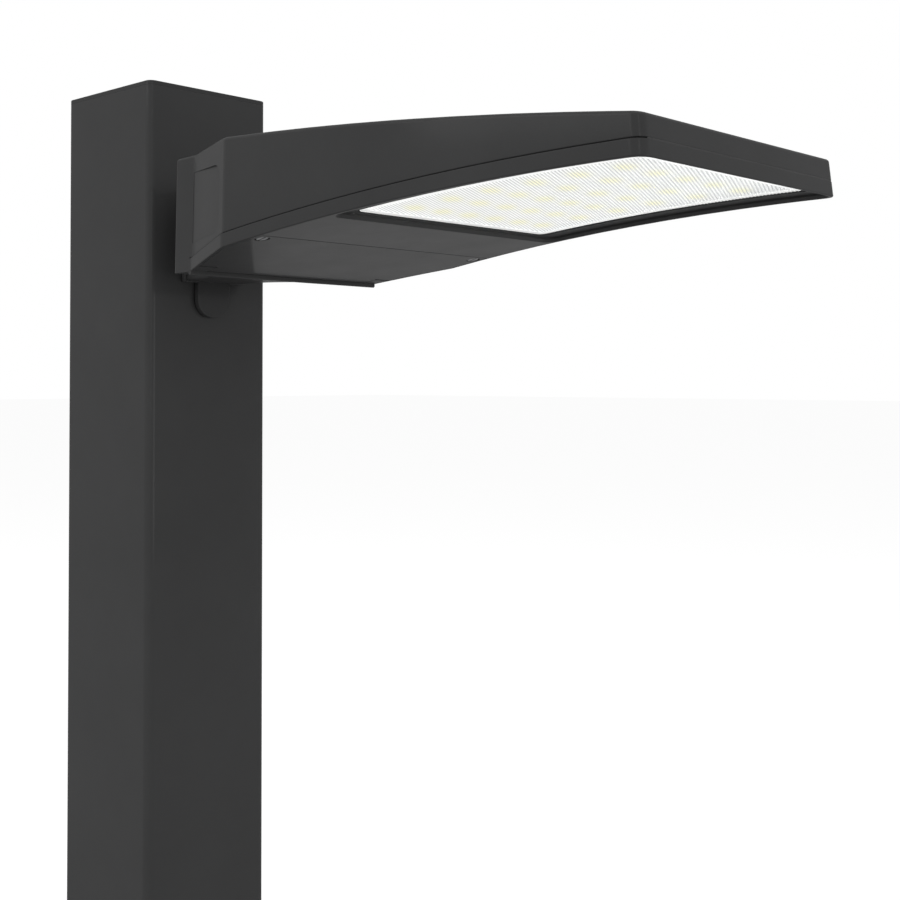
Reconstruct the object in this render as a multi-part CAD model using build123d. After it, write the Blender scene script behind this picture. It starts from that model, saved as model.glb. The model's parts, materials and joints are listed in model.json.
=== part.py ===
from build123d import *
import math
import os

# An LED area light on the top section of a square pole, in millimetres.
# The origin is on the pole's axis at the foot of the section. X runs from the pole to the
# luminaire's tip, Z is up, and the light is the same on both sides of Y = 0.
# A lift is a height above the arched underside, measured straight up.

# Pole section, its cap, and how far below the top the luminaire's underside starts
POLE_SIDE = 127.0
POLE_CORNER = 6.4
POLE_WALL = 3.2
POLE_LENGTH = 786.0
CAP_PLATE = 4.0
CAP_PLUG_DEPTH = 16.0
CAP_PLUG_WALL = 2.5
HANG_DROP = 170.8

# Luminaire outline from above, at the height of the rear underside
ARM_REACH = 81.3
HOUSING_LENGTH = 444.4
REAR_BLOCK = 24.1
FLARE_LENGTH = 69.1
REAR_HALF = 99.0
SHOULDER_HALF = 124.4
TIP_HALF = 115.8
REAR_CORNER = 3.0
KINK_ROUND = 6.0
SHOULDER_ROUND = 12.0
TIP_CORNER = 8.5
LEAST_ROUND = 1.5
SIDE_DRAFT = 1.2
FRONT_DRAFT = 6.3

# Luminaire outline from the side: an arched underside and a crowned top
FRAME_SETBACK = 20.9
ARCH_RISE = 38.1
ARCH_BULGE = 9.35
REAR_HEIGHT = 89.6
PEAK_SETBACK = 83.8
PEAK_HEIGHT = 92.2
TIP_HEIGHT = 24.5
TOP_BULGE = 4.45
TOP_ROUND = 2.6

# Housing casting
WALL = 3.0
LAP = 1.3
SEAM_WIDTH = 0.8
REAR_FLOOR = 3.0
PILLAR_RADIUS = 5.5
RIB_WIDTH = 3.0
RIB_PITCH = 38.0
RIB_PAIRS = 2
DIVIDER_SETBACK = 10.5
FIN_SETBACK = 4.0
FIN_DEPTH = 8.0
FIN_PITCH = 14.0
FIN_GROOVE = 7.0
FIN_PAIRS = 6
FIN_TIP_SETBACK = 20.0
FIN_ROUND = 6.0
RECESS_DEPTH_REAR = 0.2
RECESS_DEPTH_FRONT = 2.2
RECESS_LENGTH = 60.0
RECESS_TOP = 76.4
RECESS_TOP_FALL = 2.5
RECESS_BOTTOM = 21.8
RECESS_BOTTOM_RISE = 3.0
RECESS_ROUND = 11.0

# Lower frame: a skirt all round, with the door bay behind and the lens bay in front
FRAME_TOP = 10.0
SEAL_THICK = 1.0
SEAL_SETBACK = 1.5
SKIRT_LIP = 2.5
SKIRT_WALL = 4.3
LEDGE_BOTTOM = 3.5
LEDGE_TOP = 6.0
LEDGE_WIDTH = 9.0
PANEL = 3.0
REAR_BAR = 3.2
REAR_BAR_DROP = 2.4
BRIDGE = 69.5
BRIDGE_LEDGE = 9.5
CROSS_FLANGE = 1.0
FRONT_LIP = 3.2
FRONT_LEDGE = 6.5
BAY_MARGIN = 5.0
BAY_REAR = 1.0
OPENING_MARGIN = 18.5
OPENING_ROUND = 7.0
OPENING_CHAMFER = 2.0
RIM_HEIGHT = 5.6
RIM_WIDTH = 4.0
EDGE_ROUND = 0.8
HOOK_SETBACK = 26.0
HOOK_LENGTH = 10.0
HOOK_POST_INSET = 10.5
HOOK_POST = 2.5
HOOK_NOSE = 2.4
HOOK_SHELF = 3.4
HOOK_SHELF_THICK = 1.6
HOOK_TOP = 15.0

# Driver door and its hinge
DOOR_LENGTH = 107.6
DOOR_THICK = 2.5
DOOR_REAR_GAP = 2.8
DOOR_FRONT_GAP = 1.0
DOOR_SIDE_GAP = 0.5
DOOR_RIB_INSET = 14.0
DOOR_RIB_WIDTH = 2.5
DOOR_RIB_TOP = 8.5
DOOR_RIB_START = 8.0
HINGE_BACK = 4.5
HINGE_LIFT = 4.7
PIN_RADIUS = 1.8
PIN_LENGTH = 20.0
PIN_RUNNING_GAP = 0.06
SWING_GAP = 1.6
KNUCKLE_RADIUS = 3.9
KNUCKLE_LENGTH = 14.0
KNUCKLE_END_GAP = 0.6
PAD_HALF = 85.0
PAD_FRONT = 6.0
PAD_CLEARANCE = 2.6
GASKET_START = 0.6
GASKET_WIDTH = 5.0

# Captive door screws
SCREW_SETBACK = 8.7
SCREW_INSET = 10.3
SCREW_TILT = 11.5
SCREW_HEAD_RADIUS = 4.7
SCREW_HEAD_HEIGHT = 2.9
SCREW_SLOT = 1.2
SCREW_NECK_RADIUS = 1.9
SCREW_THREAD_RADIUS = 2.5
SCREW_THREAD_START = 12.0
SCREW_THREAD = 6.0
SCREW_POINT = 0.8
SCREW_FLOAT = 0.65
WASHER_RADIUS = 4.9
WASHER_THICK = 0.8
CUP_RADIUS = 5.6
CUP_DEPTH = 3.9
CUP_FLOOR = 1.8
CUP_WALL = 1.9
CUP_NOTCH_GAP = 2.4

# Lens and its holding parts
LENS_GAP = 2.2
LENS_REAR_GAP = 3.4
LENS_RECESS = 4.1
LENS_FACE = 2.5
LENS_WALL = 2.5
LENS_ROUND = 6.0
LENS_FLANGE = 2.0
LENS_FLANGE_MARGIN = 12.8
LENS_FLANGE_END = 6.0
LENS_FLANGE_TIP = 4.2
LENS_SEAL = 1.5
CLIP_THICK = 1.2
CLIP_LENGTH = 16.0
CLIP_REACH = 13.5
CLIP_BOSS_RADIUS = 3.4
CLIP_BOSS_INSET = 8.8
CLIPS_PER_SIDE = 4
CLIP_FIRST = 20.0
CLIP_PITCH = 56.0

# Light engine: two boards under an arched heat spreader
BOARD_LIFT = 10.0
BOARD_THICK = 1.6
BOARD_EDGE = 12.5
BOARD_GAP = 4.0
SPREADER_THICK = 3.0
SPREADER_MARGIN = 26.0
COLUMN_PITCH = 33.4
COLUMNS_PER_BOARD = 3
REAR_ROWS = 6
REAR_ROW_PITCH = 27.7
FRONT_ROWS = 5
FRONT_ROW_PITCH = 33.0
FIRST_COLUMN = 25.3
LED_SIDE = 5.0
LED_HEIGHT = 0.8
PLUG_LENGTH = 10.0
PLUG_WIDTH = 14.0
PLUG_HEIGHT = 5.0

# Pole bracket, bolts and arm
POLE_SEAL = 1.5
BRACKET_THICK = 5.0
BRACKET_HALF = 31.0
TONGUE_HALF = 17.0
TONGUE_DROP = 28.7
TONGUE_ROUND = 15.0
HUB_LENGTH = 22.0
HUB_WALL = 5.0
ARM_HALF = 29.0
ARM_WALL = 4.0
ARM_BOTTOM = 1.8
ARM_TOP = 80.8
ARM_SWEEP = 58.0
ARM_EDGE = 3.0
ARM_FLANGE = 6.0
ARM_FLANGE_EDGE = 5.0
ARM_SEAL = 1.5
BOLT_RADIUS = 5.0
BOLT_SPACING = 39.0
BOLT_HEAD_WIDTH = 16.0
BOLT_HEAD_HEIGHT = 6.4
BOLT_END = 8.0
BOLT_WASHER_RADIUS = 9.5
BOLT_WASHER_THICK = 2.0
BACKING_HALF = 20.0
BACKING_HEIGHT = 72.0
BACKING_THICK = 5.0
WIRE_HOLE_RADIUS = 9.0
ARM_BOLT_RADIUS = 3.0
ARM_BOLT_Y = 40.0
ARM_BOLT_SPACING = 52.0
ARM_BOLT_LENGTH = 16.0
ARM_BOLT_HEAD_WIDTH = 10.0
ARM_BOLT_HEAD_HEIGHT = 4.0
SET_SCREW_RADIUS = 3.0
SET_SCREW_SPACING = 36.0
SET_SCREW_SOCKET = 3.0
HEX_SIDES = 6

# Driver bay contents
TRAY_THICK = 1.5
TRAY_DROP = 6.0
TRAY_SETBACK = 12.0
TRAY_LENGTH = 86.0
TRAY_HALF = 88.0
TRAY_SCREW_EDGE = 4.6
TRAY_SCREW_Y = 80.0
UNIT_SETBACK = 9.4
UNIT_TAB = 9.0
UNIT_TAB_THICK = 2.0
UNIT_ROUND = 2.0
DRIVER_LENGTH = 60.0
DRIVER_Y0 = -84.0
DRIVER_Y1 = 32.0
DRIVER_HEIGHT = 30.0
SURGE_LENGTH = 50.0
SURGE_Y0 = 40.0
SURGE_Y1 = 86.0
SURGE_HEIGHT = 26.0
BLOCK_DEPTH = 16.0
BLOCK_Y0 = 28.0
BLOCK_HEIGHT = 18.0
BLOCK_POLE_PITCH = 15.0
BLOCK_POLES = 3
BLOCK_BELOW_LEADS = 4.0
SMALL_SCREW_RADIUS = 2.0
SMALL_SCREW_LENGTH = 6.0
SMALL_HEAD_RADIUS = 3.6
SMALL_HEAD_HEIGHT = 2.2
GROUND_Y = -60.0
GROUND_LEVEL = 30.0
GROUND_BOSS = 7.0
GROMMET_WALL = 2.2
GROMMET_LIP = 2.5
GROMMET_LIP_THICK = 2.0
DIVIDER_HOLE_RADIUS = 6.0
DIVIDER_HOLE_Y = 19.0
DIVIDER_HOLE_LEVEL = 60.0
VENT_Y = -57.0
VENT_RADIUS = 4.0
VENT_CAP_RADIUS = 7.0
VENT_CAP = 3.0
LEAD_RADIUS = 1.4
LEAD_SPACING = 3.6
LEAD_DROP_SPACING = 12.0
LEAD_DROP_X = 18.0
LEAD_GATHER_X = 38.0
LEAD_TURN = 26.0
LEAD_END_DROP = 130.0
LED_LEAD_RADIUS = 1.1
LED_LEAD_SPACING = 3.4
LED_LEAD_RUN = 40.0
PLUG_SPACING = 16.0
NUT_RADIUS = 5.0
NUT_TIP_RADIUS = 3.0
NUT_LENGTH = 20.0
LEAD_ROUND_SHARE = 0.45

# Clearances
FIT = 0.3
TAP_GAP = 0.1
SEAT_GAP = 0.55
OVERRUN = 20.0

# Stations along X, from the pole outwards
POLE_FACE_X = POLE_SIDE / 2
PLATE_X = POLE_FACE_X + POLE_SEAL
HUB_X = PLATE_X + BRACKET_THICK
SET_SCREW_X = HUB_X + HUB_LENGTH / 2
REAR_X = POLE_FACE_X + ARM_REACH
ARM_END_X = REAR_X - ARM_SEAL
REAR_INSIDE_X = REAR_X + WALL
KINK_X = REAR_X + REAR_BLOCK
SHOULDER_X = KINK_X + FLARE_LENGTH
TIP_X = REAR_X + HOUSING_LENGTH
PEAK_X = REAR_X + PEAK_SETBACK
FRAME_X = REAR_X + FRAME_SETBACK
STRIP_X = FRAME_X - SEAM_WIDTH
SHELF_X = STRIP_X - WALL
BAR_X = FRAME_X + REAR_BAR
DOOR_X = BAR_X + DOOR_REAR_GAP
HINGE_X = DOOR_X + HINGE_BACK
LAND_X = HINGE_X - HINGE_LIFT - SWING_GAP
PAD_X = HINGE_X + PAD_FRONT
DOOR_END_X = DOOR_X + DOOR_LENGTH
SCREW_X = DOOR_END_X - SCREW_SETBACK
LEDGE_X = DOOR_END_X - LEDGE_WIDTH
BRIDGE_X = DOOR_END_X + DOOR_FRONT_GAP
BRIDGE_LEDGE_X = BRIDGE_X + BRIDGE_LEDGE
OPENING_X = DOOR_END_X + BRIDGE
BAY_X = OPENING_X - BAY_REAR
OPENING_END_X = TIP_X - FRONT_LIP
RIM_END_X = OPENING_END_X - FRONT_LEDGE
DIVIDER_X = OPENING_X - DIVIDER_SETBACK
DIVIDER_END_X = DIVIDER_X + WALL
CROSS_X = DIVIDER_X - CROSS_FLANGE
CROSS_END_X = DIVIDER_END_X + CROSS_FLANGE
FIN_X = DIVIDER_END_X + FIN_SETBACK
FIN_END_X = TIP_X - FIN_TIP_SETBACK
HOOK_X = TIP_X - HOOK_SETBACK
LENS_X = OPENING_X + LENS_REAR_GAP
LENS_END_X = RIM_END_X - LENS_GAP
BOARDS_X = LENS_X + FIRST_COLUMN
TRAY_X = DOOR_X + TRAY_SETBACK
UNIT_X = TRAY_X + UNIT_SETBACK
FRAME_END_X = TIP_X + TIP_CORNER

# Heights
BASE_Z = POLE_LENGTH + CAP_PLATE - HANG_DROP
PEAK_Z = BASE_Z + PEAK_HEIGHT
SEAM_LIFT = FRAME_TOP + SEAL_THICK
SPREADER_LIFT = BOARD_LIFT + BOARD_THICK
SPREADER_TOP = SPREADER_LIFT + SPREADER_THICK
FLANGE_LIFT = RIM_HEIGHT + LENS_SEAL
FLANGE_TOP = FLANGE_LIFT + LENS_FLANGE
ARM_MID_Z = BASE_Z + (ARM_BOTTOM + ARM_TOP) / 2
TRAY_TOP_Z = BASE_Z + REAR_HEIGHT - TRAY_DROP
TRAY_Z = TRAY_TOP_Z - TRAY_THICK
DIVIDER_HOLE_Z = BASE_Z + DIVIDER_HOLE_LEVEL
GROUND_Z = BASE_Z + GROUND_LEVEL
SIDE_SLOPE = math.tan(math.radians(SIDE_DRAFT))
FRONT_SLOPE = math.tan(math.radians(FRONT_DRAFT))
CUT_HALF = SHOULDER_HALF + OVERRUN
HOLE_GAP = BOLT_RADIUS + FIT
CUP_OUTSIDE = CUP_RADIUS + CUP_WALL
CUP_TOP = CUP_DEPTH + CUP_FLOOR
DOOR_INSET = SKIRT_LIP + DOOR_SIDE_GAP
SCREW_SIDES = {"near": -1, "far": 1}


def bulged(first, last, bulge):
    """Centre and radius of the circle through two points, a bulge above their chord."""
    ax, az = first
    cx, cz = last
    bx, bz = (ax + cx) / 2, (az + cz) / 2 + bulge
    twice = 2 * (ax * (bz - cz) + bx * (cz - az) + cx * (az - bz))
    a2, b2, c2 = ax * ax + az * az, bx * bx + bz * bz, cx * cx + cz * cz
    x = (a2 * (bz - cz) + b2 * (cz - az) + c2 * (az - bz)) / twice
    z = (a2 * (cx - bx) + b2 * (ax - cx) + c2 * (bx - ax)) / twice
    return x, z, math.hypot(ax - x, az - z)


ARCH = bulged((FRAME_X, BASE_Z), (TIP_X, BASE_Z + ARCH_RISE), ARCH_BULGE)
TOP_TIP = (TIP_X, BASE_Z + ARCH_RISE + TIP_HEIGHT)
TOP_ARC = bulged((PEAK_X, PEAK_Z), TOP_TIP, TOP_BULGE)


def circle_z(circle, x):
    """Height of a circle's upper half at x."""
    return circle[1] + math.sqrt(circle[2] ** 2 - (x - circle[0]) ** 2)


def arch_z(x):
    """Height of the arched underside at x."""
    return circle_z(ARCH, x)


def top_z(x):
    """Height of the housing's top at x."""
    if x < PEAK_X:
        rise = (PEAK_HEIGHT - REAR_HEIGHT) * (x - REAR_X) / PEAK_SETBACK
        return BASE_Z + REAR_HEIGHT + rise
    return circle_z(TOP_ARC, x)


def groove_z(x):
    """Height of the floor of the cooling grooves at x."""
    start = top_z(FIN_X) - FIN_DEPTH
    share = (x - FIN_X) / (FIN_END_X - FIN_X)
    return start + (top_z(FIN_END_X) - start) * share


def half_width(x, z):
    """Half width of the frame's outside at a place past the kink."""
    if x < SHOULDER_X:
        share = (x - KINK_X) / FLARE_LENGTH
        side = REAR_HALF + (SHOULDER_HALF - REAR_HALF) * share
    else:
        share = (x - SHOULDER_X) / (TIP_X - SHOULDER_X)
        side = SHOULDER_HALF + (TIP_HALF - SHOULDER_HALF) * share
    return side - (z - BASE_Z) * SIDE_SLOPE


def flank(x):
    """Half width of the frame at its underside."""
    return half_width(x, arch_z(x))


def mirrored(solid):
    """A solid and its twin on the other side of Y = 0."""
    return [solid, solid.mirror(Plane.XZ)]


def box(x0, x1, y0, y1, z0, z1):
    """A block between two corners."""
    return Pos((x0 + x1) / 2, (y0 + y1) / 2, (z0 + z1) / 2) * Box(x1 - x0, y1 - y0, z1 - z0)


def rod_x(x0, x1, y, z, radius):
    """A cylinder along X."""
    plane = Plane(origin=(x0, y, z), x_dir=(0, 1, 0), z_dir=(1, 0, 0))
    return extrude(plane * Circle(radius), x1 - x0)


def rod_y(x, y0, y1, z, radius):
    """A cylinder along Y."""
    plane = Plane(origin=(x, y0, z), x_dir=(1, 0, 0), z_dir=(0, 1, 0))
    return extrude(plane * Circle(radius), y1 - y0)


def rod_z(x, y, z0, z1, radius):
    """A cylinder along Z."""
    return extrude(Pos(x, y, z0) * Circle(radius), z1 - z0)


def upright(x, y, radius):
    """A cylinder along Z that passes through the whole luminaire."""
    return rod_z(x, y, BASE_Z - OVERRUN, PEAK_Z + OVERRUN, radius)


def outline_face(inset, z, kink_inset, shoulder_inset):
    """The luminaire's plan outline at a height, drawn in by an inset."""
    level = z - BASE_Z
    side = inset + level * SIDE_SLOPE
    front = TIP_X - max(inset - LAP, 0) - (level - ARCH_RISE) * FRONT_SLOPE
    tip = half_width(front, BASE_Z) - side
    half = [
        (REAR_X - LAP + inset, REAR_HALF - side - kink_inset, REAR_CORNER),
        (KINK_X, REAR_HALF - side - kink_inset, KINK_ROUND + inset),
        (SHOULDER_X, SHOULDER_HALF - side - shoulder_inset,
         max(SHOULDER_ROUND - inset, LEAST_ROUND)),
        (front, tip, max(TIP_CORNER - inset, LEAST_ROUND)),
    ]
    points = [(x, -y) for x, y, _ in half] + [(x, y) for x, y, _ in reversed(half)]
    rounds = [r for _, _, r in half] + [r for _, _, r in reversed(half)]
    return Pos(0, 0, z) * make_face(FilletPolyline(*points, radius=rounds, close=True))


def body_block(inset, kink_inset=0.0, shoulder_inset=0.0):
    """The drafted block that the housing, frame and door are cut from."""
    heights = [BASE_Z - OVERRUN, PEAK_Z + OVERRUN]
    faces = [outline_face(inset, z, kink_inset, shoulder_inset) for z in heights]
    return loft(faces, ruled=True)


def side_solid(edges):
    """A closed side outline, drawn in X and Z, made as wide as any cut needs."""
    return extrude(Plane.XZ * make_face(edges), CUT_HALF, both=True)


def arc_between(height, x0, x1, lift):
    """Part of an arched line between two stations."""
    return ThreePointArc(*[(x, height(x) + lift) for x in (x0, (x0 + x1) / 2, x1)])


def band(low, high, x0, x1):
    """All that lies between two lifts above the arched underside, from x0 to x1."""
    lower = arc_between(arch_z, x0, x1, low)
    upper = arc_between(arch_z, x0, x1, high)
    return side_solid([lower, upper, Line(lower @ 0, upper @ 0), Line(lower @ 1, upper @ 1)])


def below(lift, x0, x1):
    """All that lies under a lift, from x0 to x1."""
    return band(-OVERRUN, lift, x0, x1)


def above(lift, x0, x1):
    """All that lies over a lift, from x0 to x1."""
    return band(lift, PEAK_HEIGHT, x0, x1)


def bay_prism(margin, x0, x1, corner):
    """An upright prism of the lens bay's plan, a margin in from the skirt."""
    y0 = flank(x0) - margin
    y1 = flank(x1) - margin
    points = [(x0, -y0), (x1, -y1), (x1, y1), (x0, y0)]
    face = make_face(FilletPolyline(*points, radius=corner, close=True))
    return extrude(Pos(0, 0, BASE_Z - OVERRUN) * face, PEAK_HEIGHT + OVERRUN)


def hexagon_x(x, y, z, width, height):
    """A hexagon that stands out along +X."""
    plane = Plane(origin=(x, y, z), x_dir=(0, 1, 0), z_dir=(1, 0, 0))
    return extrude(plane * RegularPolygon(width / 2, HEX_SIDES, major_radius=False), height)


def pan_screw(origin, outward, length):
    """A small round-headed screw with a slot, its head facing outward."""
    head = extrude(Circle(SMALL_HEAD_RADIUS), SMALL_HEAD_HEIGHT)
    head = fillet(head.edges().group_by(Axis.Z)[-1], EDGE_ROUND)
    shank = extrude(Circle(SMALL_SCREW_RADIUS), -length)
    slot = Pos(0, 0, SMALL_HEAD_HEIGHT) * Box(OVERRUN, SCREW_SLOT, SMALL_HEAD_HEIGHT)
    return Plane(origin=origin, z_dir=outward) * (head + shank - slot)


def flat_screw(origin, length):
    """A countersunk screw from below, its head flush with the origin."""
    head = Pos(0, 0, -SMALL_HEAD_HEIGHT / 2) * Cone(
        SMALL_SCREW_RADIUS, SMALL_HEAD_RADIUS, SMALL_HEAD_HEIGHT)
    shank = extrude(Circle(SMALL_SCREW_RADIUS), -length)
    slot = Box(OVERRUN, SCREW_SLOT, SCREW_SLOT)
    return Plane(origin=origin, z_dir=(0, 0, -1)) * (head + shank - slot)


def grommet(x0, x1, y, z, radius):
    """A rubber ring in a wall's hole, with a lip on each side."""
    lip = radius + GROMMET_LIP
    ring = rod_x(x0, x1, y, z, radius)
    ring += rod_x(x0 - GROMMET_LIP_THICK, x0, y, z, lip)
    ring += rod_x(x1, x1 + GROMMET_LIP_THICK, y, z, lip)
    return ring - rod_x(x0 - OVERRUN, x1 + OVERRUN, y, z, radius - GROMMET_WALL)


def lead(points, radius):
    """A wire of straight runs joined by tangent arcs as large as the runs allow."""
    vectors = [Vector(*point) for point in points]
    rounds = []
    for before, here, after in zip(vectors, vectors[1:], vectors[2:]):
        turn = math.radians((here - before).get_angle(after - here))
        run = min((here - before).length, (after - here).length)
        rounds.append(LEAD_ROUND_SHARE * run / math.tan(turn / 2))
    path = FilletPolyline(*points, radius=rounds)
    start = Plane(origin=path @ 0, z_dir=path % 0)
    print("lead", round(path.length), "mm long, arc radii", [round(r, 1) for r in rounds])
    return sweep(start * Circle(radius), path=path)


def bolt_heights():
    """Heights of the two pole bolts."""
    return [ARM_MID_Z - BOLT_SPACING / 2, ARM_MID_Z + BOLT_SPACING / 2]


def arm_bolt_places():
    """Places, in Y and Z, of the bolts between the arm and the housing."""
    heights = [ARM_MID_Z - ARM_BOLT_SPACING / 2, ARM_MID_Z + ARM_BOLT_SPACING / 2]
    return [(y, z) for y in (-ARM_BOLT_Y, ARM_BOLT_Y) for z in heights]


def set_screw_heights():
    """Heights of the arm's set screws."""
    return [ARM_MID_Z - SET_SCREW_SPACING / 2, ARM_MID_Z + SET_SCREW_SPACING / 2]


def tray_screw_places():
    """Places of the screws that hang the tray from the housing's roof."""
    stations = [TRAY_X + TRAY_SCREW_EDGE, TRAY_X + TRAY_LENGTH - TRAY_SCREW_EDGE]
    return [(x, y) for x in stations for y in (-TRAY_SCREW_Y, TRAY_SCREW_Y)]


def board_span(index):
    """First and last station of one board, and its half width."""
    half_gap = BOARD_GAP / 2
    middle = BOARDS_X + (COLUMNS_PER_BOARD - 0.5) * COLUMN_PITCH
    if index == 0:
        half = (REAR_ROWS - 1) / 2 * REAR_ROW_PITCH + BOARD_EDGE
        return BOARDS_X - BOARD_EDGE, middle - half_gap, half
    last = BOARDS_X + (2 * COLUMNS_PER_BOARD - 1) * COLUMN_PITCH
    half = (FRONT_ROWS - 1) / 2 * FRONT_ROW_PITCH + BOARD_EDGE
    return middle + half_gap, last + BOARD_EDGE, half


def spreader_screw_places():
    """Places of the screws that hold the heat spreader, clear of both boards."""
    rear_x = LENS_X + BOARD_EDGE / 2
    middle_x = board_span(0)[1]
    front_x = board_span(1)[1] + BOARD_EDGE / 2
    middle_y = board_span(0)[2] + SMALL_HEAD_RADIUS + FIT
    end_y = RIB_PITCH * (RIB_PAIRS - 0.5)
    return [(x, side * y) for side in (-1, 1)
            for x, y in ((rear_x, end_y), (middle_x, middle_y), (front_x, end_y))]


def frame_screw_places():
    """Places of the flat screws that hold the frame to the housing."""
    rear_x = SHOULDER_X - RIB_PITCH
    rear_y = flank(rear_x) - SKIRT_WALL - SMALL_SCREW_RADIUS - SEAT_GAP
    front_x = (LEDGE_X + BRIDGE_X) / 2
    return [(x, side * y) for side in (-1, 1) for x, y in ((rear_x, rear_y), (front_x, RIB_PITCH))]


def clip_places():
    """Stations of the lens clips along each side."""
    return [LENS_X + CLIP_FIRST + i * CLIP_PITCH for i in range(CLIPS_PER_SIDE)]


def hinge_z():
    """Height of the door's hinge axis."""
    return arch_z(HINGE_X) + HINGE_LIFT


def screw_plane(side):
    """Frame of a captive screw: origin on the door's outside, axis up into its boss."""
    tilt = math.radians(SCREW_TILT)
    y = side * (flank(SCREW_X) - SCREW_INSET)
    return Plane(origin=(SCREW_X, y, arch_z(SCREW_X)),
                 x_dir=(math.cos(tilt), 0, math.sin(tilt)),
                 z_dir=(-math.sin(tilt), 0, math.cos(tilt)))


def screw_rod(side, start, end, radius):
    """A cylinder along a captive screw's axis."""
    return screw_plane(side) * extrude(Pos(0, 0, start) * Circle(radius), end - start)


def make_pole():
    """The square tube with its drilled holes, and the flat cap with its inner plug."""
    inside = POLE_SIDE - 2 * POLE_WALL
    outer = RectangleRounded(POLE_SIDE, POLE_SIDE, POLE_CORNER)
    tube = extrude(outer, POLE_LENGTH)
    tube -= extrude(RectangleRounded(inside, inside, POLE_CORNER - POLE_WALL), POLE_LENGTH)
    for z in bolt_heights():
        tube -= rod_x(0, POLE_SIDE, 0, z, HOLE_GAP)
    tube -= rod_x(0, POLE_SIDE, 0, ARM_MID_Z, WIRE_HOLE_RADIUS)
    cap = extrude(Pos(0, 0, POLE_LENGTH) * outer, CAP_PLATE)
    cap = fillet(cap.edges().group_by(Axis.Z)[-1], EDGE_ROUND)
    plug = inside - 2 * FIT
    hollow = plug - 2 * CAP_PLUG_WALL
    ring = RectangleRounded(plug, plug, POLE_CORNER - POLE_WALL) - Rectangle(hollow, hollow)
    cap += extrude(Pos(0, 0, POLE_LENGTH - CAP_PLUG_DEPTH) * ring, CAP_PLUG_DEPTH)
    return {"pole_tube": [tube], "pole_cap": [cap]}


def bracket_face(trim):
    """The bracket plate's outline, with its rounded tongue below the arm."""
    top = BASE_Z + ARM_TOP + EDGE_ROUND - trim
    waist = BASE_Z + ARM_BOTTOM - EDGE_ROUND + trim
    half = BRACKET_HALF - trim
    tongue = TONGUE_HALF - trim
    foot = BASE_Z - TONGUE_DROP + trim
    right = [(half, top), (half, waist), (tongue, waist), (tongue, foot)]
    points = right + [(-y, z) for y, z in reversed(right)]
    rounds = [EDGE_ROUND, EDGE_ROUND, 0, TONGUE_ROUND]
    face = make_face(FilletPolyline(*points, radius=rounds + rounds[::-1], close=True))
    return Plane.YZ * face


def make_bracket():
    """What ties the arm to the pole: seal, bracket with hub, bolts and backing plate."""
    hub_half = ARM_HALF - ARM_WALL - FIT
    hub_low = BASE_Z + ARM_BOTTOM + ARM_WALL + FIT
    hub_high = BASE_Z + ARM_TOP - ARM_WALL - FIT
    seal = Pos(POLE_FACE_X, 0, 0) * extrude(bracket_face(FIT), POLE_SEAL)
    plate = Pos(PLATE_X, 0, 0) * extrude(bracket_face(0), BRACKET_THICK)
    plate = fillet(plate.edges().group_by(Axis.X)[-1], EDGE_ROUND)
    hub = box(HUB_X, HUB_X + HUB_LENGTH, -hub_half, hub_half, hub_low, hub_high)
    hub -= box(HUB_X, HUB_X + HUB_LENGTH, HUB_WALL - hub_half, hub_half - HUB_WALL,
               hub_low + HUB_WALL, hub_high - HUB_WALL)
    inner_x = POLE_FACE_X - POLE_WALL
    backing = box(inner_x - BACKING_THICK, inner_x, -BACKING_HALF, BACKING_HALF,
                  ARM_MID_Z - BACKING_HEIGHT / 2, ARM_MID_Z + BACKING_HEIGHT / 2)
    wire_hole = rod_x(0, POLE_SIDE, 0, ARM_MID_Z, WIRE_HOLE_RADIUS)
    backing -= wire_hole
    bracket = plate + hub - wire_hole
    seal -= wire_hole
    head_x = HUB_X + BOLT_WASHER_THICK
    bolts = []
    washers = []
    for z in bolt_heights():
        clear_hole = rod_x(0, POLE_SIDE, 0, z, HOLE_GAP)
        bracket -= clear_hole
        seal -= clear_hole
        backing -= rod_x(0, POLE_SIDE, 0, z, BOLT_RADIUS + TAP_GAP)
        shank = rod_x(inner_x - BACKING_THICK - BOLT_END, head_x, 0, z, BOLT_RADIUS)
        bolts.append(shank + hexagon_x(head_x, 0, z, BOLT_HEAD_WIDTH, BOLT_HEAD_HEIGHT))
        washers.append(rod_x(HUB_X, head_x, 0, z, BOLT_WASHER_RADIUS) - clear_hole)
    set_screws = []
    for z in set_screw_heights():
        bracket -= rod_y(SET_SCREW_X, -CUT_HALF, CUT_HALF, z, SET_SCREW_RADIUS + TAP_GAP)
        outer_y = ARM_HALF - EDGE_ROUND
        pin = rod_y(SET_SCREW_X, hub_half - HUB_WALL, outer_y, z, SET_SCREW_RADIUS)
        socket = Plane(origin=(SET_SCREW_X, outer_y, z), z_dir=(0, -1, 0))
        hexagon = RegularPolygon(SET_SCREW_SOCKET / 2, HEX_SIDES, major_radius=False)
        pin -= extrude(socket * hexagon, SET_SCREW_SOCKET)
        set_screws += mirrored(pin)
    return {"pole_gasket": [seal], "pole_bracket": [bracket], "backing_plate": [backing],
            "pole_bolts": bolts, "pole_bolt_washers": washers, "arm_set_screws": set_screws}


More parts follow.
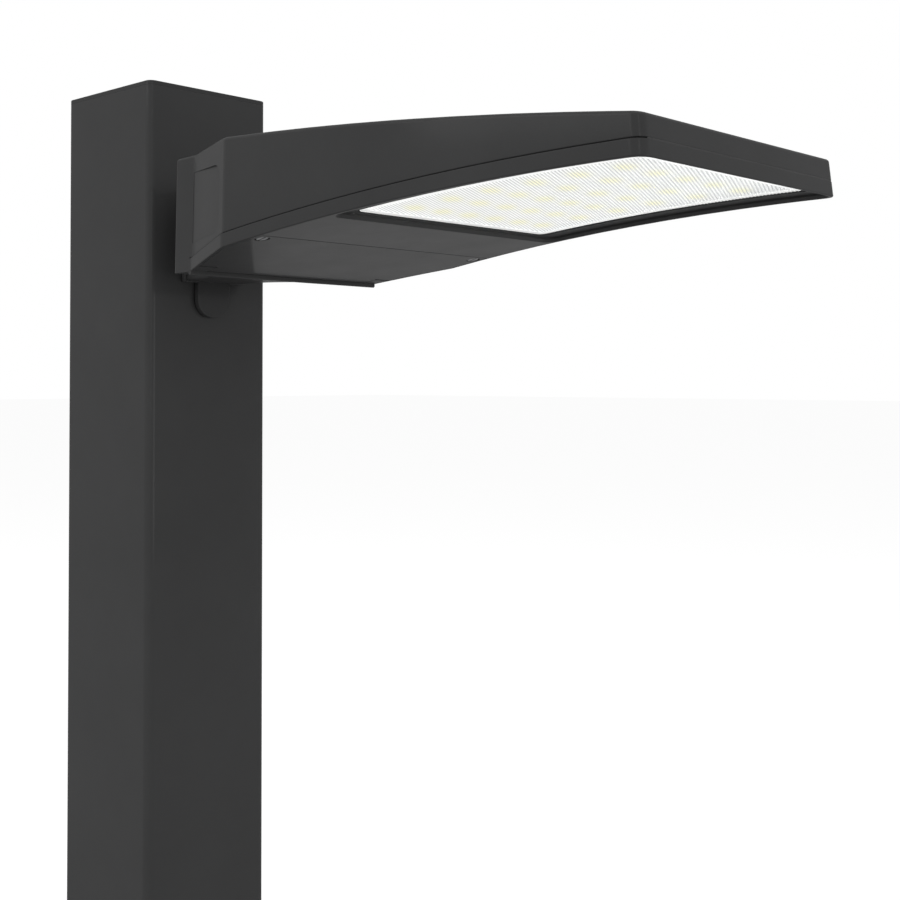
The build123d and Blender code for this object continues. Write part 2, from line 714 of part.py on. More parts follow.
def arm_plan(inset, start, end):
    """The arm's plan: a narrow mouth that sweeps out to the flange in a quarter circle."""
    mouth = ARM_HALF - inset
    radius = ARM_SWEEP + inset
    sweep_end = ARM_END_X - ARM_FLANGE_EDGE
    sweep_start = sweep_end - ARM_SWEEP
    stop = min(end, sweep_end)
    wide = mouth + radius - math.sqrt(radius ** 2 - (stop - sweep_start) ** 2)
    half_turn = math.asin((stop - sweep_start) / radius) / 2
    middle = (sweep_start + radius * math.sin(half_turn),
              mouth + radius * (1 - math.cos(half_turn)))
    upper = [Line((start, mouth), (sweep_start, mouth)),
             ThreePointArc((sweep_start, mouth), middle, (stop, wide))]
    if end > stop:
        upper.append(Line((stop, wide), (end, wide)))
    lower = [edge.mirror(Plane.XZ) for edge in upper]
    ends = [Line((start, -mouth), (start, mouth)), Line((end, -wide), (end, wide))]
    return make_face(upper + lower + ends)


def make_arm():
    """The hollow flared arm, its seal and the bolts through the housing's rear wall."""
    low = BASE_Z + ARM_BOTTOM
    high = BASE_Z + ARM_TOP
    flange_x = ARM_END_X - ARM_FLANGE
    arm = extrude(Pos(0, 0, low) * arm_plan(0, HUB_X, ARM_END_X), high - low)
    long_edges = arm.edges().filter_by(lambda e: abs((e @ 0.5).Z - (e @ 0).Z) < FIT
                                       and abs((e @ 0).X - (e @ 1).X) > FIT)
    arm = fillet(long_edges, ARM_EDGE)
    arm -= extrude(Pos(0, 0, low + ARM_WALL) * arm_plan(ARM_WALL, HUB_X, flange_x),
                   high - low - 2 * ARM_WALL)
    arm -= rod_x(flange_x, ARM_END_X, 0, ARM_MID_Z, WIRE_HOLE_RADIUS + GROMMET_LIP + FIT)
    seal_half = ARM_HALF + ARM_SWEEP - FIT
    seal = box(ARM_END_X, REAR_X, -seal_half, seal_half, low + FIT, high - FIT)
    seal -= rod_x(flange_x, REAR_X, 0, ARM_MID_Z, WIRE_HOLE_RADIUS + GROMMET_LIP + FIT)
    for z in set_screw_heights():
        arm -= rod_y(SET_SCREW_X, -CUT_HALF, CUT_HALF, z, SET_SCREW_RADIUS + TAP_GAP)
    bolts = []
    for y, z in arm_bolt_places():
        arm -= rod_x(flange_x, ARM_END_X, y, z, ARM_BOLT_RADIUS + TAP_GAP)
        seal -= rod_x(flange_x, REAR_X, y, z, ARM_BOLT_RADIUS + FIT)
        shank = rod_x(REAR_INSIDE_X - ARM_BOLT_LENGTH, REAR_INSIDE_X, y, z, ARM_BOLT_RADIUS)
        head = hexagon_x(REAR_INSIDE_X, y, z, ARM_BOLT_HEAD_WIDTH, ARM_BOLT_HEAD_HEIGHT)
        bolts.append(shank + head)
    return {"mounting_arm": [arm], "arm_gasket": [seal], "arm_bolts": bolts}


def top_edges(x0, x1, drop):
    """The housing's top line, or a line a drop below it, as side outline edges."""
    straight = Line((x0, top_z(x0) - drop), (PEAK_X, top_z(PEAK_X) - drop))
    return [straight, arc_between(top_z, PEAK_X, x1, -drop)]


def polyline(*points):
    """Straight edges through points."""
    return [Line(a, b) for a, b in zip(points, points[1:])]


def housing_outside():
    """The housing as a solid block, its top edge rounded."""
    rear = REAR_X - OVERRUN
    seam = arc_between(arch_z, STRIP_X, FRAME_END_X, SEAM_LIFT)
    walls = polyline((rear, top_z(rear)), (rear, BASE_Z), (STRIP_X, BASE_Z), seam @ 0)
    front = Line(seam @ 1, (FRAME_END_X, top_z(FRAME_END_X)))
    outside = body_block(LAP) & side_solid(
        walls + [seam, front] + top_edges(rear, FRAME_END_X, 0))
    rim = outside.edges().filter_by(
        lambda e: all(abs((e @ t).Z - top_z((e @ t).X)) < TAP_GAP for t in (0, 0.5, 1)))
    return fillet(rim, TOP_ROUND)


def housing_cavities():
    """The driver bay and the lens bay inside the housing."""
    rear = REAR_X - OVERRUN
    floor_z = BASE_Z + REAR_FLOOR
    land_z = arch_z(SHELF_X) + SEAM_LIFT + WALL
    low_z = BASE_Z - OVERRUN
    driver_bay = polyline(
        (rear, top_z(rear) - WALL), (rear, floor_z), (SHELF_X, floor_z), (SHELF_X, land_z),
        (LAND_X, land_z), (LAND_X, low_z), (DIVIDER_X, low_z),
        (DIVIDER_X, top_z(DIVIDER_X) - WALL))
    lens_bay = polyline(
        (DIVIDER_END_X, low_z), (TIP_X, low_z), (TIP_X, top_z(TIP_X) - WALL),
        (FIN_END_X, top_z(FIN_END_X) - WALL), (DIVIDER_END_X, groove_z(DIVIDER_END_X) - WALL),
        (DIVIDER_END_X, low_z))
    inside = body_block(LAP + WALL)
    return [inside & side_solid(driver_bay + top_edges(rear, DIVIDER_X, WALL)),
            inside & side_solid(lens_bay)]


def side_pocket():
    """The shallow cast pocket in each flared side, deepest at its front."""
    end = KINK_X + RECESS_LENGTH
    top = BASE_Z + RECESS_TOP
    low = BASE_Z + RECESS_BOTTOM
    points = [(KINK_X, top), (end, top - RECESS_TOP_FALL), (end, low + RECESS_BOTTOM_RISE),
              (KINK_X, low)]
    outline = FilletPolyline(*points, radius=[0, RECESS_ROUND, RECESS_ROUND, 0], close=True)
    shell = body_block(0) - body_block(LAP, RECESS_DEPTH_REAR, RECESS_DEPTH_FRONT)
    return shell & extrude(Plane.XZ * make_face(outline), CUT_HALF, both=True)


def groove_cutter():
    """The cut of one cooling groove, at Y = 0."""
    high = PEAK_Z + OVERRUN
    points = [(FIN_X, high), (FIN_X, groove_z(FIN_X)), (FIN_END_X, groove_z(FIN_END_X)),
              (FIN_END_X, high)]
    outline = FilletPolyline(*points, radius=[0, FIN_ROUND, 0, 0], close=True)
    return extrude(Plane.XZ * make_face(outline), FIN_GROOVE / 2, both=True)


def housing_webs():
    """Ribs, pillars and bosses inside the housing, before they are trimmed to it."""
    whole = box(REAR_X, DIVIDER_X, -CUT_HALF, CUT_HALF, TRAY_TOP_Z, PEAK_Z)
    webs = []
    for i in range(-RIB_PAIRS, RIB_PAIRS + 1):
        rib = box(DIVIDER_X, FIN_END_X, -RIB_WIDTH / 2, RIB_WIDTH / 2, BASE_Z, PEAK_Z)
        webs.append(Pos(0, i * RIB_PITCH, 0) * rib & above(SPREADER_TOP, DIVIDER_X, TIP_X))
    for x, y in spreader_screw_places():
        webs.append(upright(x, y, PILLAR_RADIUS) & above(SPREADER_TOP, DIVIDER_X, TIP_X))
    for x, y in frame_screw_places():
        webs.append(upright(x, y, PILLAR_RADIUS) & above(SEAM_LIFT, DOOR_X, DIVIDER_X))
    for x, y in tray_screw_places():
        webs.append(upright(x, y, PILLAR_RADIUS) & whole)
    for side in SCREW_SIDES.values():
        webs.append(screw_rod(side, SCREW_THREAD_START + FIT, PEAK_HEIGHT, PILLAR_RADIUS))
    webs.append(rod_x(REAR_INSIDE_X - FIT, REAR_INSIDE_X + GROUND_BOSS, GROUND_Y, GROUND_Z,
                      PILLAR_RADIUS))
    shelf = body_block(SKIRT_WALL - FIT) - body_block(SKIRT_WALL + HOOK_SHELF)
    shelf &= band(SEAM_LIFT, SEAM_LIFT + HOOK_SHELF_THICK, HOOK_X, HOOK_X + HOOK_LENGTH)
    return webs + list(shelf.solids())


def make_housing():
    """The die-cast housing."""
    outside = housing_outside()
    housing = outside - housing_cavities()
    for web in housing_webs():
        housing += web & outside
    groove = groove_cutter()
    for i in range(-FIN_PAIRS, FIN_PAIRS + 1):
        housing -= Pos(0, i * FIN_PITCH, 0) * groove
    housing -= side_pocket()
    housing -= rod_x(REAR_X, REAR_INSIDE_X, 0, ARM_MID_Z, WIRE_HOLE_RADIUS)
    for y, z in arm_bolt_places():
        housing -= rod_x(REAR_X, REAR_INSIDE_X, y, z, ARM_BOLT_RADIUS + FIT)
    housing -= rod_x(DIVIDER_X, DIVIDER_END_X, DIVIDER_HOLE_Y, DIVIDER_HOLE_Z,
                     DIVIDER_HOLE_RADIUS)
    housing -= rod_x(DIVIDER_X, DIVIDER_END_X, VENT_Y, DIVIDER_HOLE_Z, VENT_RADIUS + TAP_GAP)
    tapped = SMALL_SCREW_RADIUS + TAP_GAP
    housing -= rod_x(REAR_INSIDE_X, REAR_INSIDE_X + GROUND_BOSS, GROUND_Y, GROUND_Z, tapped)
    for side in SCREW_SIDES.values():
        housing -= screw_rod(side, 0, SCREW_THREAD_START + 2 * SCREW_THREAD,
                             SCREW_THREAD_RADIUS + SCREW_FLOAT)
    for x, y in tray_screw_places():
        housing -= rod_z(x, y, TRAY_Z, top_z(x) - WALL, tapped)
    for x, y in frame_screw_places():
        housing -= rod_z(x, y, BASE_Z, arch_z(x) + OVERRUN, tapped)
    for x, y in spreader_screw_places():
        housing -= rod_z(x, y, BASE_Z, arch_z(x) + SPREADER_TOP + SMALL_SCREW_LENGTH, tapped)
    return {"housing": [housing]}


def on_underside(edge):
    """Whether an edge lies on the arched underside."""
    return all(abs((edge @ t).Z - arch_z((edge @ t).X)) < TAP_GAP for t in (0, 0.5, 1))


def frame_blank():
    """The frame as a solid slab with its outer lower edge rounded."""
    slab = body_block(0) & band(0, FRAME_TOP, FRAME_X, FRAME_END_X)
    edges = slab.edges().filter_by(on_underside).filter_by(lambda e: (e @ 0.5).X > FRAME_X + FIT)
    return fillet(edges, EDGE_ROUND)


def frame_slab():
    """The frame's skirt, ledges, bridge and lens bay, before its small features."""
    skirt = body_block(0)
    wall = body_block(SKIRT_WALL)
    blank = frame_blank()
    mouth = bay_prism(OPENING_MARGIN, OPENING_X, OPENING_END_X, OPENING_ROUND)
    bay = bay_prism(BAY_MARGIN, BAY_X, OPENING_END_X, OPENING_ROUND)
    frame = blank - (bay & below(LEDGE_BOTTOM, DIVIDER_X, FRAME_END_X))
    lower = frame.edges().filter_by(on_underside).filter_by(
        lambda e: BAY_X - FIT < (e @ 0.5).X < OPENING_END_X - EDGE_ROUND
        and abs((e @ 0.5).Y) < flank((e @ 0.5).X) - SKIRT_WALL)
    frame = chamfer(lower, OPENING_CHAMFER)
    frame -= mouth & above(LEDGE_BOTTOM - FIT, OPENING_X - RIM_WIDTH, RIM_END_X)
    frame -= body_block(SKIRT_LIP) & below(LEDGE_BOTTOM, BAR_X, BRIDGE_X)
    frame -= wall & above(LEDGE_TOP, BAR_X, BRIDGE_LEDGE_X)
    frame -= wall & above(PANEL, BRIDGE_LEDGE_X, CROSS_X)
    frame -= body_block(LEDGE_WIDTH) & below(FRAME_TOP, BAR_X, LEDGE_X)
    frame -= wall & above(LEDGE_BOTTOM, BAR_X, PAD_X)
    frame -= wall & above(RIM_HEIGHT, CROSS_END_X, FRAME_END_X)
    pad = box(BAR_X - EDGE_ROUND, PAD_X, PAD_HALF, CUT_HALF, BASE_Z - OVERRUN, PEAK_Z)
    for solid in mirrored(pad):
        frame += solid & blank
    frame += skirt & band(FRAME_TOP, SEAM_LIFT, TIP_X - LAP, FRAME_END_X)
    bar_z = arch_z(FRAME_X) - REAR_BAR_DROP + REAR_BAR / 2
    bar = box(FRAME_X, BAR_X, -CUT_HALF, CUT_HALF, bar_z, BASE_Z + PANEL)
    bar += rod_y(FRAME_X + REAR_BAR / 2, -CUT_HALF, CUT_HALF, bar_z, REAR_BAR / 2)
    return frame + (body_block(FIT) & bar)


def make_frame():
    """The lower frame and the seal between it and the housing."""
    skirt = body_block(0)
    wall = body_block(SKIRT_WALL)
    frame = frame_slab()
    for side in SCREW_SIDES.values():
        notch = screw_rod(side, 0, SCREW_THREAD_START, CUP_OUTSIDE + CUP_NOTCH_GAP)
        frame -= notch & body_block(SKIRT_LIP) & below(FRAME_TOP, PAD_X, BRIDGE_X)
    tapped = SMALL_SCREW_RADIUS + TAP_GAP
    boss_start = LEDGE_BOTTOM + FIT
    hole_start = FLANGE_TOP + CLIP_THICK + SEAT_GAP - SMALL_SCREW_LENGTH - FIT
    for x in clip_places():
        y = flank(x) - CLIP_BOSS_INSET
        boss = upright(x, y, CLIP_BOSS_RADIUS) & band(boss_start, FLANGE_TOP, LENS_X, TIP_X)
        hole = upright(x, y, tapped) & band(hole_start, SEAM_LIFT, LENS_X, TIP_X)
        for solid, cut in zip(mirrored(boss), mirrored(hole)):
            frame = frame + solid - cut
    hook_end = HOOK_X + HOOK_LENGTH
    post = body_block(HOOK_POST_INSET - HOOK_POST) - body_block(HOOK_POST_INSET)
    nose = body_block(HOOK_POST_INSET - HOOK_POST - HOOK_NOSE) - body_block(HOOK_POST_INSET)
    frame += post & band(boss_start, HOOK_TOP, HOOK_X, hook_end)
    frame += nose & band(SEAM_LIFT + HOOK_SHELF_THICK + FIT, HOOK_TOP, HOOK_X, hook_end)
    for x, y in frame_screw_places():
        frame += upright(x, y, PILLAR_RADIUS) & wall & band(
            LEDGE_BOTTOM, SEAM_LIFT, DOOR_X, BRIDGE_X)
    for x, y in frame_screw_places():
        sink_z = arch_z(x) + LEDGE_BOTTOM + SEAT_GAP
        frame -= rod_z(x, y, sink_z - PANEL, sink_z + OVERRUN, SMALL_SCREW_RADIUS + FIT)
        frame -= rod_z(x, y, sink_z - PANEL, sink_z + SMALL_HEAD_HEIGHT, SMALL_HEAD_RADIUS + TAP_GAP)
    pin_end = PAD_HALF + PIN_LENGTH - KNUCKLE_LENGTH / 2
    for hole in mirrored(rod_y(HINGE_X, PAD_HALF, pin_end, hinge_z(), PIN_RADIUS + TAP_GAP)):
        frame -= hole
    seal = (body_block(SEAL_SETBACK) - wall) & band(FRAME_TOP, SEAM_LIFT, BAR_X, FRAME_END_X)
    seal += body_block(SEAL_SETBACK) & band(FRAME_TOP, SEAM_LIFT, FRAME_X + SEAM_WIDTH, BAR_X)
    seal += wall & band(FRAME_TOP, SEAM_LIFT, CROSS_X, CROSS_END_X)
    seal -= skirt & band(FRAME_TOP, SEAM_LIFT, TIP_X - LAP - FIT, FRAME_END_X)
    return {"lens_frame": [frame], "frame_gasket": [seal]}


def make_frame_screws():
    """The fasteners in the frame, and the two hinge pins."""
    length = SEAM_LIFT - LEDGE_BOTTOM + SMALL_SCREW_LENGTH
    screws = [flat_screw((x, y, arch_z(x) + LEDGE_BOTTOM + SEAT_GAP), length)
              for x, y in frame_screw_places()]
    pin_y = PAD_HALF - KNUCKLE_LENGTH / 2
    pin = rod_y(HINGE_X, pin_y, pin_y + PIN_LENGTH, hinge_z(), PIN_RADIUS)
    return {"frame_screws": screws, "hinge_pins": mirrored(pin)}


def make_lens():
    """The pan-shaped lens, its seal, and the clips that press it down."""
    outside = bay_prism(OPENING_MARGIN + LENS_GAP, LENS_X, LENS_END_X, LENS_ROUND)
    inside = bay_prism(OPENING_MARGIN + LENS_GAP + LENS_WALL, LENS_X + LENS_WALL,
                       LENS_END_X - LENS_WALL, LENS_ROUND - LENS_WALL)
    flange_x = OPENING_X - LENS_FLANGE_END
    flange_end = RIM_END_X + LENS_FLANGE_TIP
    flange = bay_prism(LENS_FLANGE_MARGIN, flange_x, flange_end, LENS_ROUND)
    lens = outside & band(LENS_RECESS, FLANGE_TOP, DIVIDER_X, FRAME_END_X)
    lens += flange & band(FLANGE_LIFT, FLANGE_TOP, DIVIDER_X, FRAME_END_X)
    lens -= inside & above(LENS_RECESS + LENS_FACE, DIVIDER_X, FRAME_END_X)
    seat = bay_prism(OPENING_MARGIN - RIM_WIDTH, OPENING_X - RIM_WIDTH, flange_end, OPENING_ROUND)
    mouth = bay_prism(OPENING_MARGIN, OPENING_X, OPENING_END_X, OPENING_ROUND)
    hole = mouth & above(0, OPENING_X - RIM_WIDTH, RIM_END_X)
    seal = (seat - hole) & band(RIM_HEIGHT, FLANGE_LIFT, DIVIDER_X, FRAME_END_X)
    clips = []
    screws = []
    for x in clip_places():
        y = flank(x) - CLIP_BOSS_INSET
        outer_y = y + CLIP_BOSS_RADIUS
        half = CLIP_LENGTH / 2
        strip = box(x - half, x + half, outer_y - CLIP_REACH, outer_y, BASE_Z, PEAK_Z)
        clip = strip & band(FLANGE_TOP, FLANGE_TOP + CLIP_THICK, LENS_X, TIP_X)
        clip -= upright(x, y, SMALL_SCREW_RADIUS + FIT)
        clips += mirrored(clip)
        seat_z = arch_z(x) + FLANGE_TOP + CLIP_THICK
        for side in (-1, 1):
            screws.append(pan_screw((x, side * y, seat_z + SEAT_GAP), (0, 0, 1),
                                    SMALL_SCREW_LENGTH))
    return {"lens": [lens], "lens_gasket": [seal], "lens_clips": clips,
            "lens_clip_screws": screws}


def make_light_engine():
    """Boards with their chips, the heat spreader over them, its screws and its plugs."""
    spreader = bay_prism(SPREADER_MARGIN, LENS_X, LENS_END_X, LENS_ROUND)
    spreader &= band(SPREADER_LIFT, SPREADER_TOP, DIVIDER_X, TIP_X)
    nodes = {}
    board_screws = []
    layout = [("rear", REAR_ROWS, REAR_ROW_PITCH), ("front", FRONT_ROWS, FRONT_ROW_PITCH)]
    tapped = SMALL_SCREW_RADIUS + TAP_GAP
    for index, (name, rows, pitch) in enumerate(layout):
        x0, x1, half = board_span(index)
        board = bay_slab(x0, x1, half, BOARD_LIFT, SPREADER_LIFT)
        chips = []
        for column in range(COLUMNS_PER_BOARD):
            x = BOARDS_X + (index * COLUMNS_PER_BOARD + column) * COLUMN_PITCH
            for row in range(rows):
                y = (row - (rows - 1) / 2) * pitch
                chip = box(x - LED_SIDE / 2, x + LED_SIDE / 2, y - LED_SIDE / 2, y + LED_SIDE / 2,
                           BASE_Z, PEAK_Z)
                chips.append(chip & band(BOARD_LIFT - LED_HEIGHT, BOARD_LIFT, LENS_X, TIP_X))
        screw_y = half - SMALL_HEAD_RADIUS - EDGE_ROUND
        for x in (x0 + SMALL_HEAD_RADIUS + EDGE_ROUND, x1 - SMALL_HEAD_RADIUS - EDGE_ROUND):
            for y in (-screw_y, screw_y):
                board -= upright(x, y, SMALL_SCREW_RADIUS + FIT)
                spreader -= upright(x, y, tapped)
                board_screws.append(pan_screw((x, y, arch_z(x) + BOARD_LIFT - SEAT_GAP), (0, 0, -1),
                                              SPREADER_LIFT - BOARD_LIFT + SPREADER_THICK))
        nodes["led_board_" + name] = [board]
        nodes["leds_" + name] = chips
    spreader_screws = []
    for x, y in spreader_screw_places():
        spreader -= upright(x, y, SMALL_SCREW_RADIUS + FIT)
        seat = (x, y, arch_z(x) + SPREADER_LIFT - SEAT_GAP)
        spreader_screws.append(pan_screw(seat, (0, 0, -1), SPREADER_THICK + SMALL_SCREW_LENGTH - FIT))
    plugs = [bay_slab(LENS_X + FIT, LENS_X + PLUG_LENGTH, PLUG_WIDTH / 2, SPREADER_TOP,
                      SPREADER_TOP + PLUG_HEIGHT, y) for y in plug_rows()]
    nodes.update({"heat_spreader": [spreader], "board_screws": board_screws,
                  "spreader_screws": spreader_screws, "led_connectors": plugs})
    return nodes


def plug_rows():
    """Places across Y of the two wire plugs on the heat spreader."""
    return [DIVIDER_HOLE_Y - PLUG_SPACING / 2, DIVIDER_HOLE_Y + PLUG_SPACING / 2]


def bay_slab(x0, x1, half, low, high, y=0.0):
    """A curved slab that follows the arch."""
    return box(x0, x1, y - half, y + half, BASE_Z, PEAK_Z) & band(low, high, x0 - FIT, x1 + FIT)


def make_door():
    """The driver door with its knuckles, stiffening ring, screw cups and seal."""
    panel = body_block(DOOR_INSET)
    door = panel & band(0, DOOR_THICK, DOOR_X, DOOR_END_X)
    knuckle_end = PAD_HALF - KNUCKLE_END_GAP
    corner = box(BAR_X, PAD_X + PAD_CLEARANCE, knuckle_end, CUT_HALF, BASE_Z - OVERRUN, PEAK_Z)
    for solid in mirrored(corner):
        door -= solid
    ring_x = HINGE_X + DOOR_RIB_START
    ring_end = SCREW_X - CUP_RADIUS
    ring = body_block(DOOR_RIB_INSET) & band(DOOR_THICK - FIT, DOOR_RIB_TOP, ring_x, ring_end)
    ring -= body_block(DOOR_RIB_INSET + DOOR_RIB_WIDTH) & above(
        0, ring_x + DOOR_RIB_WIDTH, ring_end - DOOR_RIB_WIDTH)
    door += ring
    web_low = arch_z(HINGE_X) + DOOR_THICK / 2
    knuckle = rod_y(HINGE_X, knuckle_end - KNUCKLE_LENGTH, knuckle_end, hinge_z(), KNUCKLE_RADIUS)
    knuckle += box(HINGE_X - KNUCKLE_RADIUS / 2, HINGE_X + KNUCKLE_RADIUS,
                   knuckle_end - KNUCKLE_LENGTH, knuckle_end, web_low, hinge_z())
    bore = rod_y(HINGE_X, knuckle_end - KNUCKLE_LENGTH, knuckle_end, hinge_z(),
                 PIN_RADIUS + PIN_RUNNING_GAP)
    for solid, cut in zip(mirrored(knuckle), mirrored(bore)):
        door = door + solid - cut
    lane = panel & band(DOOR_THICK, LEDGE_BOTTOM, PAD_X + PAD_CLEARANCE + GASKET_START,
                        DOOR_END_X - GASKET_START)
    seal_inset = DOOR_INSET + GASKET_START
    hollow = body_block(seal_inset + GASKET_WIDTH) & above(
        0, DOOR_X, DOOR_END_X - GASKET_START - GASKET_WIDTH)
    seal = (lane & body_block(seal_inset)) - hollow
    for side in SCREW_SIDES.values():
        cup = screw_rod(side, -OVERRUN, CUP_TOP, CUP_OUTSIDE)
        seal -= cup
        door += cup & panel & above(0, DOOR_X, DOOR_END_X)
    for side in SCREW_SIDES.values():
        door -= screw_rod(side, -OVERRUN, CUP_DEPTH, CUP_RADIUS)
        door -= screw_rod(side, 0, 2 * CUP_TOP, SCREW_NECK_RADIUS + FIT)
    return {"driver_door": [door], "door_gasket": list(seal.solids())}


def make_captive_screws():
    """The two captive door screws and their retaining washers."""
    nodes = {}
    head_top = CUP_DEPTH - WASHER_THICK
    head_low = head_top - SCREW_HEAD_HEIGHT
    for name, side in SCREW_SIDES.items():
        head = screw_rod(side, head_low, head_top, SCREW_HEAD_RADIUS)
        low_edge = head.edges().sort_by(Axis.Z)[0]
        head = fillet(low_edge, EDGE_ROUND)
        slot = screw_plane(side) * Pos(0, 0, head_low) * Box(OVERRUN, SCREW_SLOT, SCREW_HEAD_HEIGHT)
        thread = extrude(Pos(0, 0, SCREW_THREAD_START) * Circle(SCREW_THREAD_RADIUS), SCREW_THREAD)
        thread = chamfer(thread.edges().group_by(Axis.Z)[-1], SCREW_POINT)
        screw = head - slot + screw_rod(side, head_top, SCREW_THREAD_START, SCREW_NECK_RADIUS)
        screw += screw_plane(side) * thread
        washer = screw_rod(side, head_top, CUP_DEPTH, WASHER_RADIUS)
        washer -= screw_rod(side, 0, CUP_TOP, SCREW_NECK_RADIUS + TAP_GAP)
        nodes[name + "_captive_screw"] = [screw]
        nodes[name + "_screw_washer"] = [washer]
    return nodes


def potted_unit(y0, y1, length, height):
    """A potted box under the tray, with a screw tab at each end, and its screws."""
    body = box(UNIT_X, UNIT_X + length, y0 + UNIT_TAB, y1 - UNIT_TAB, TRAY_Z - height, TRAY_Z)
    body = fillet(body.edges().filter_by(Axis.X), UNIT_ROUND)
    body += box(UNIT_X, UNIT_X + length, y0, y1, TRAY_Z - UNIT_TAB_THICK, TRAY_Z)
    middle = UNIT_X + length / 2
    rows = [y0 + UNIT_TAB / 2, y1 - UNIT_TAB / 2]
    screws = []
    for y in rows:
        body -= rod_z(middle, y, TRAY_Z - height, TRAY_TOP_Z, SMALL_SCREW_RADIUS + FIT)
        screws.append(pan_screw((middle, y, TRAY_Z - UNIT_TAB_THICK), (0, 0, -1),
                                UNIT_TAB_THICK + 2 * TRAY_THICK))
    return body, screws, [(middle, y) for y in rows]


def make_driver_bay():
    """The gear tray with the driver and the surge protector, hung from the roof."""
    tray = box(TRAY_X, TRAY_X + TRAY_LENGTH, -TRAY_HALF, TRAY_HALF, TRAY_Z, TRAY_TOP_Z)
    driver, driver_screws, holes = potted_unit(DRIVER_Y0, DRIVER_Y1, DRIVER_LENGTH, DRIVER_HEIGHT)
    surge, surge_screws, more = potted_unit(SURGE_Y0, SURGE_Y1, SURGE_LENGTH, SURGE_HEIGHT)
    for x, y in holes + more:
        tray -= rod_z(x, y, TRAY_Z, TRAY_TOP_Z, SMALL_SCREW_RADIUS + TAP_GAP)
    tray_screws = []
    for x, y in tray_screw_places():
        tray -= rod_z(x, y, TRAY_Z, TRAY_TOP_Z, SMALL_SCREW_RADIUS + FIT)
        tray_screws.append(pan_screw((x, y, TRAY_Z), (0, 0, -1), TRAY_THICK + TRAY_THICK))
    ground = pan_screw((REAR_INSIDE_X + GROUND_BOSS, GROUND_Y, GROUND_Z), (1, 0, 0),
                       SMALL_SCREW_LENGTH)
    return {"driver_tray": [tray], "led_driver": [driver], "surge_protector": [surge],
            "driver_screws": driver_screws + surge_screws, "tray_screws": tray_screws,
            "ground_screw": [ground]}


def make_wiring():
    """Grommets, vent, terminal block, supply leads with their nuts, and the board leads."""
    rear_grommet = grommet(REAR_X, REAR_INSIDE_X, 0, ARM_MID_Z, WIRE_HOLE_RADIUS)
    inner_grommet = grommet(DIVIDER_X, DIVIDER_END_X, DIVIDER_HOLE_Y, DIVIDER_HOLE_Z,
                            DIVIDER_HOLE_RADIUS)
    vent = rod_x(DIVIDER_X - VENT_CAP, DIVIDER_X, VENT_Y, DIVIDER_HOLE_Z, VENT_CAP_RADIUS)
    vent += rod_x(DIVIDER_X, DIVIDER_END_X + VENT_CAP, VENT_Y, DIVIDER_HOLE_Z, VENT_RADIUS)
    block_low = ARM_MID_Z - BLOCK_BELOW_LEADS
    block_x = REAR_INSIDE_X + BLOCK_DEPTH
    block = box(REAR_INSIDE_X, block_x, BLOCK_Y0, BLOCK_Y0 + BLOCK_POLES * BLOCK_POLE_PITCH,
                block_low, block_low + BLOCK_HEIGHT)
    clamp_z = block_low + BLOCK_HEIGHT - SMALL_HEAD_RADIUS - EDGE_ROUND
    clamps = []
    leads = []
    nuts = []
    for i in range(BLOCK_POLES):
        step = i - (BLOCK_POLES - 1) / 2
        pole_y = BLOCK_Y0 + (i + 0.5) * BLOCK_POLE_PITCH
        block -= rod_x(block_x - SMALL_SCREW_LENGTH, block_x, pole_y, clamp_z,
                       SMALL_SCREW_RADIUS + TAP_GAP)
        clamps.append(pan_screw((block_x, pole_y, clamp_z), (1, 0, 0), SMALL_SCREW_LENGTH - FIT))
        row_y = -step * LEAD_SPACING
        drop_y = -step * LEAD_DROP_SPACING
        turn_x = REAR_X + LEAD_TURN + i * LEAD_SPACING
        foot_z = BASE_Z - LEAD_END_DROP
        bend_z = ARM_MID_Z - (LEAD_GATHER_X - LEAD_DROP_X)
        points = [(LEAD_DROP_X, drop_y, foot_z), (LEAD_DROP_X, drop_y, bend_z),
                  (LEAD_GATHER_X, row_y, ARM_MID_Z), (turn_x, row_y, ARM_MID_Z),
                  (turn_x, pole_y, ARM_MID_Z), (block_x, pole_y, ARM_MID_Z)]
        leads.append(lead(points, LEAD_RADIUS))
        nut = Cone(NUT_TIP_RADIUS, NUT_RADIUS, NUT_LENGTH)
        nuts.append(Pos(LEAD_DROP_X, drop_y, foot_z - NUT_LENGTH / 2) * nut)
    board_leads = []
    driver_x = UNIT_X + DRIVER_LENGTH
    start_z = TRAY_Z - DRIVER_HEIGHT / 2
    for i, plug_y in enumerate(plug_rows()):
        step = (2 * i - 1) / 2 * LED_LEAD_SPACING
        hole_y = DIVIDER_HOLE_Y + step
        start_y = step
        plug_x = LENS_X + PLUG_LENGTH / 2
        plug_z = arch_z(plug_x) + SPREADER_TOP + PLUG_HEIGHT
        points = [(driver_x, start_y, start_z), (driver_x + LED_LEAD_RUN / 2, start_y, start_z),
                  (DIVIDER_X - LED_LEAD_RUN / 2, hole_y, DIVIDER_HOLE_Z),
                  (DIVIDER_END_X + GROMMET_LIP_THICK, hole_y, DIVIDER_HOLE_Z),
                  (plug_x, plug_y, DIVIDER_HOLE_Z - GROMMET_LIP_THICK),
                  (plug_x, plug_y, plug_z + FIT)]
        board_leads.append(lead(points, LED_LEAD_RADIUS))
    return {"wire_grommet": [rear_grommet], "divider_grommet": [inner_grommet],
            "breather_vent": [vent], "terminal_block": [block], "terminal_screws": clamps,
            "supply_leads": leads, "wire_nuts": nuts, "led_leads": board_leads}


def main():
    """Build every piece and write one file per node."""
    os.makedirs("parts", exist_ok=True)
    makers = (make_pole, make_bracket, make_arm, make_housing, make_frame, make_frame_screws,
              make_lens, make_light_engine, make_door, make_captive_screws, make_driver_bay,
              make_wiring)
    for make in makers:
        for name, solids in make().items():
            export_step(Compound(children=solids), "parts/" + name + ".step")


main()
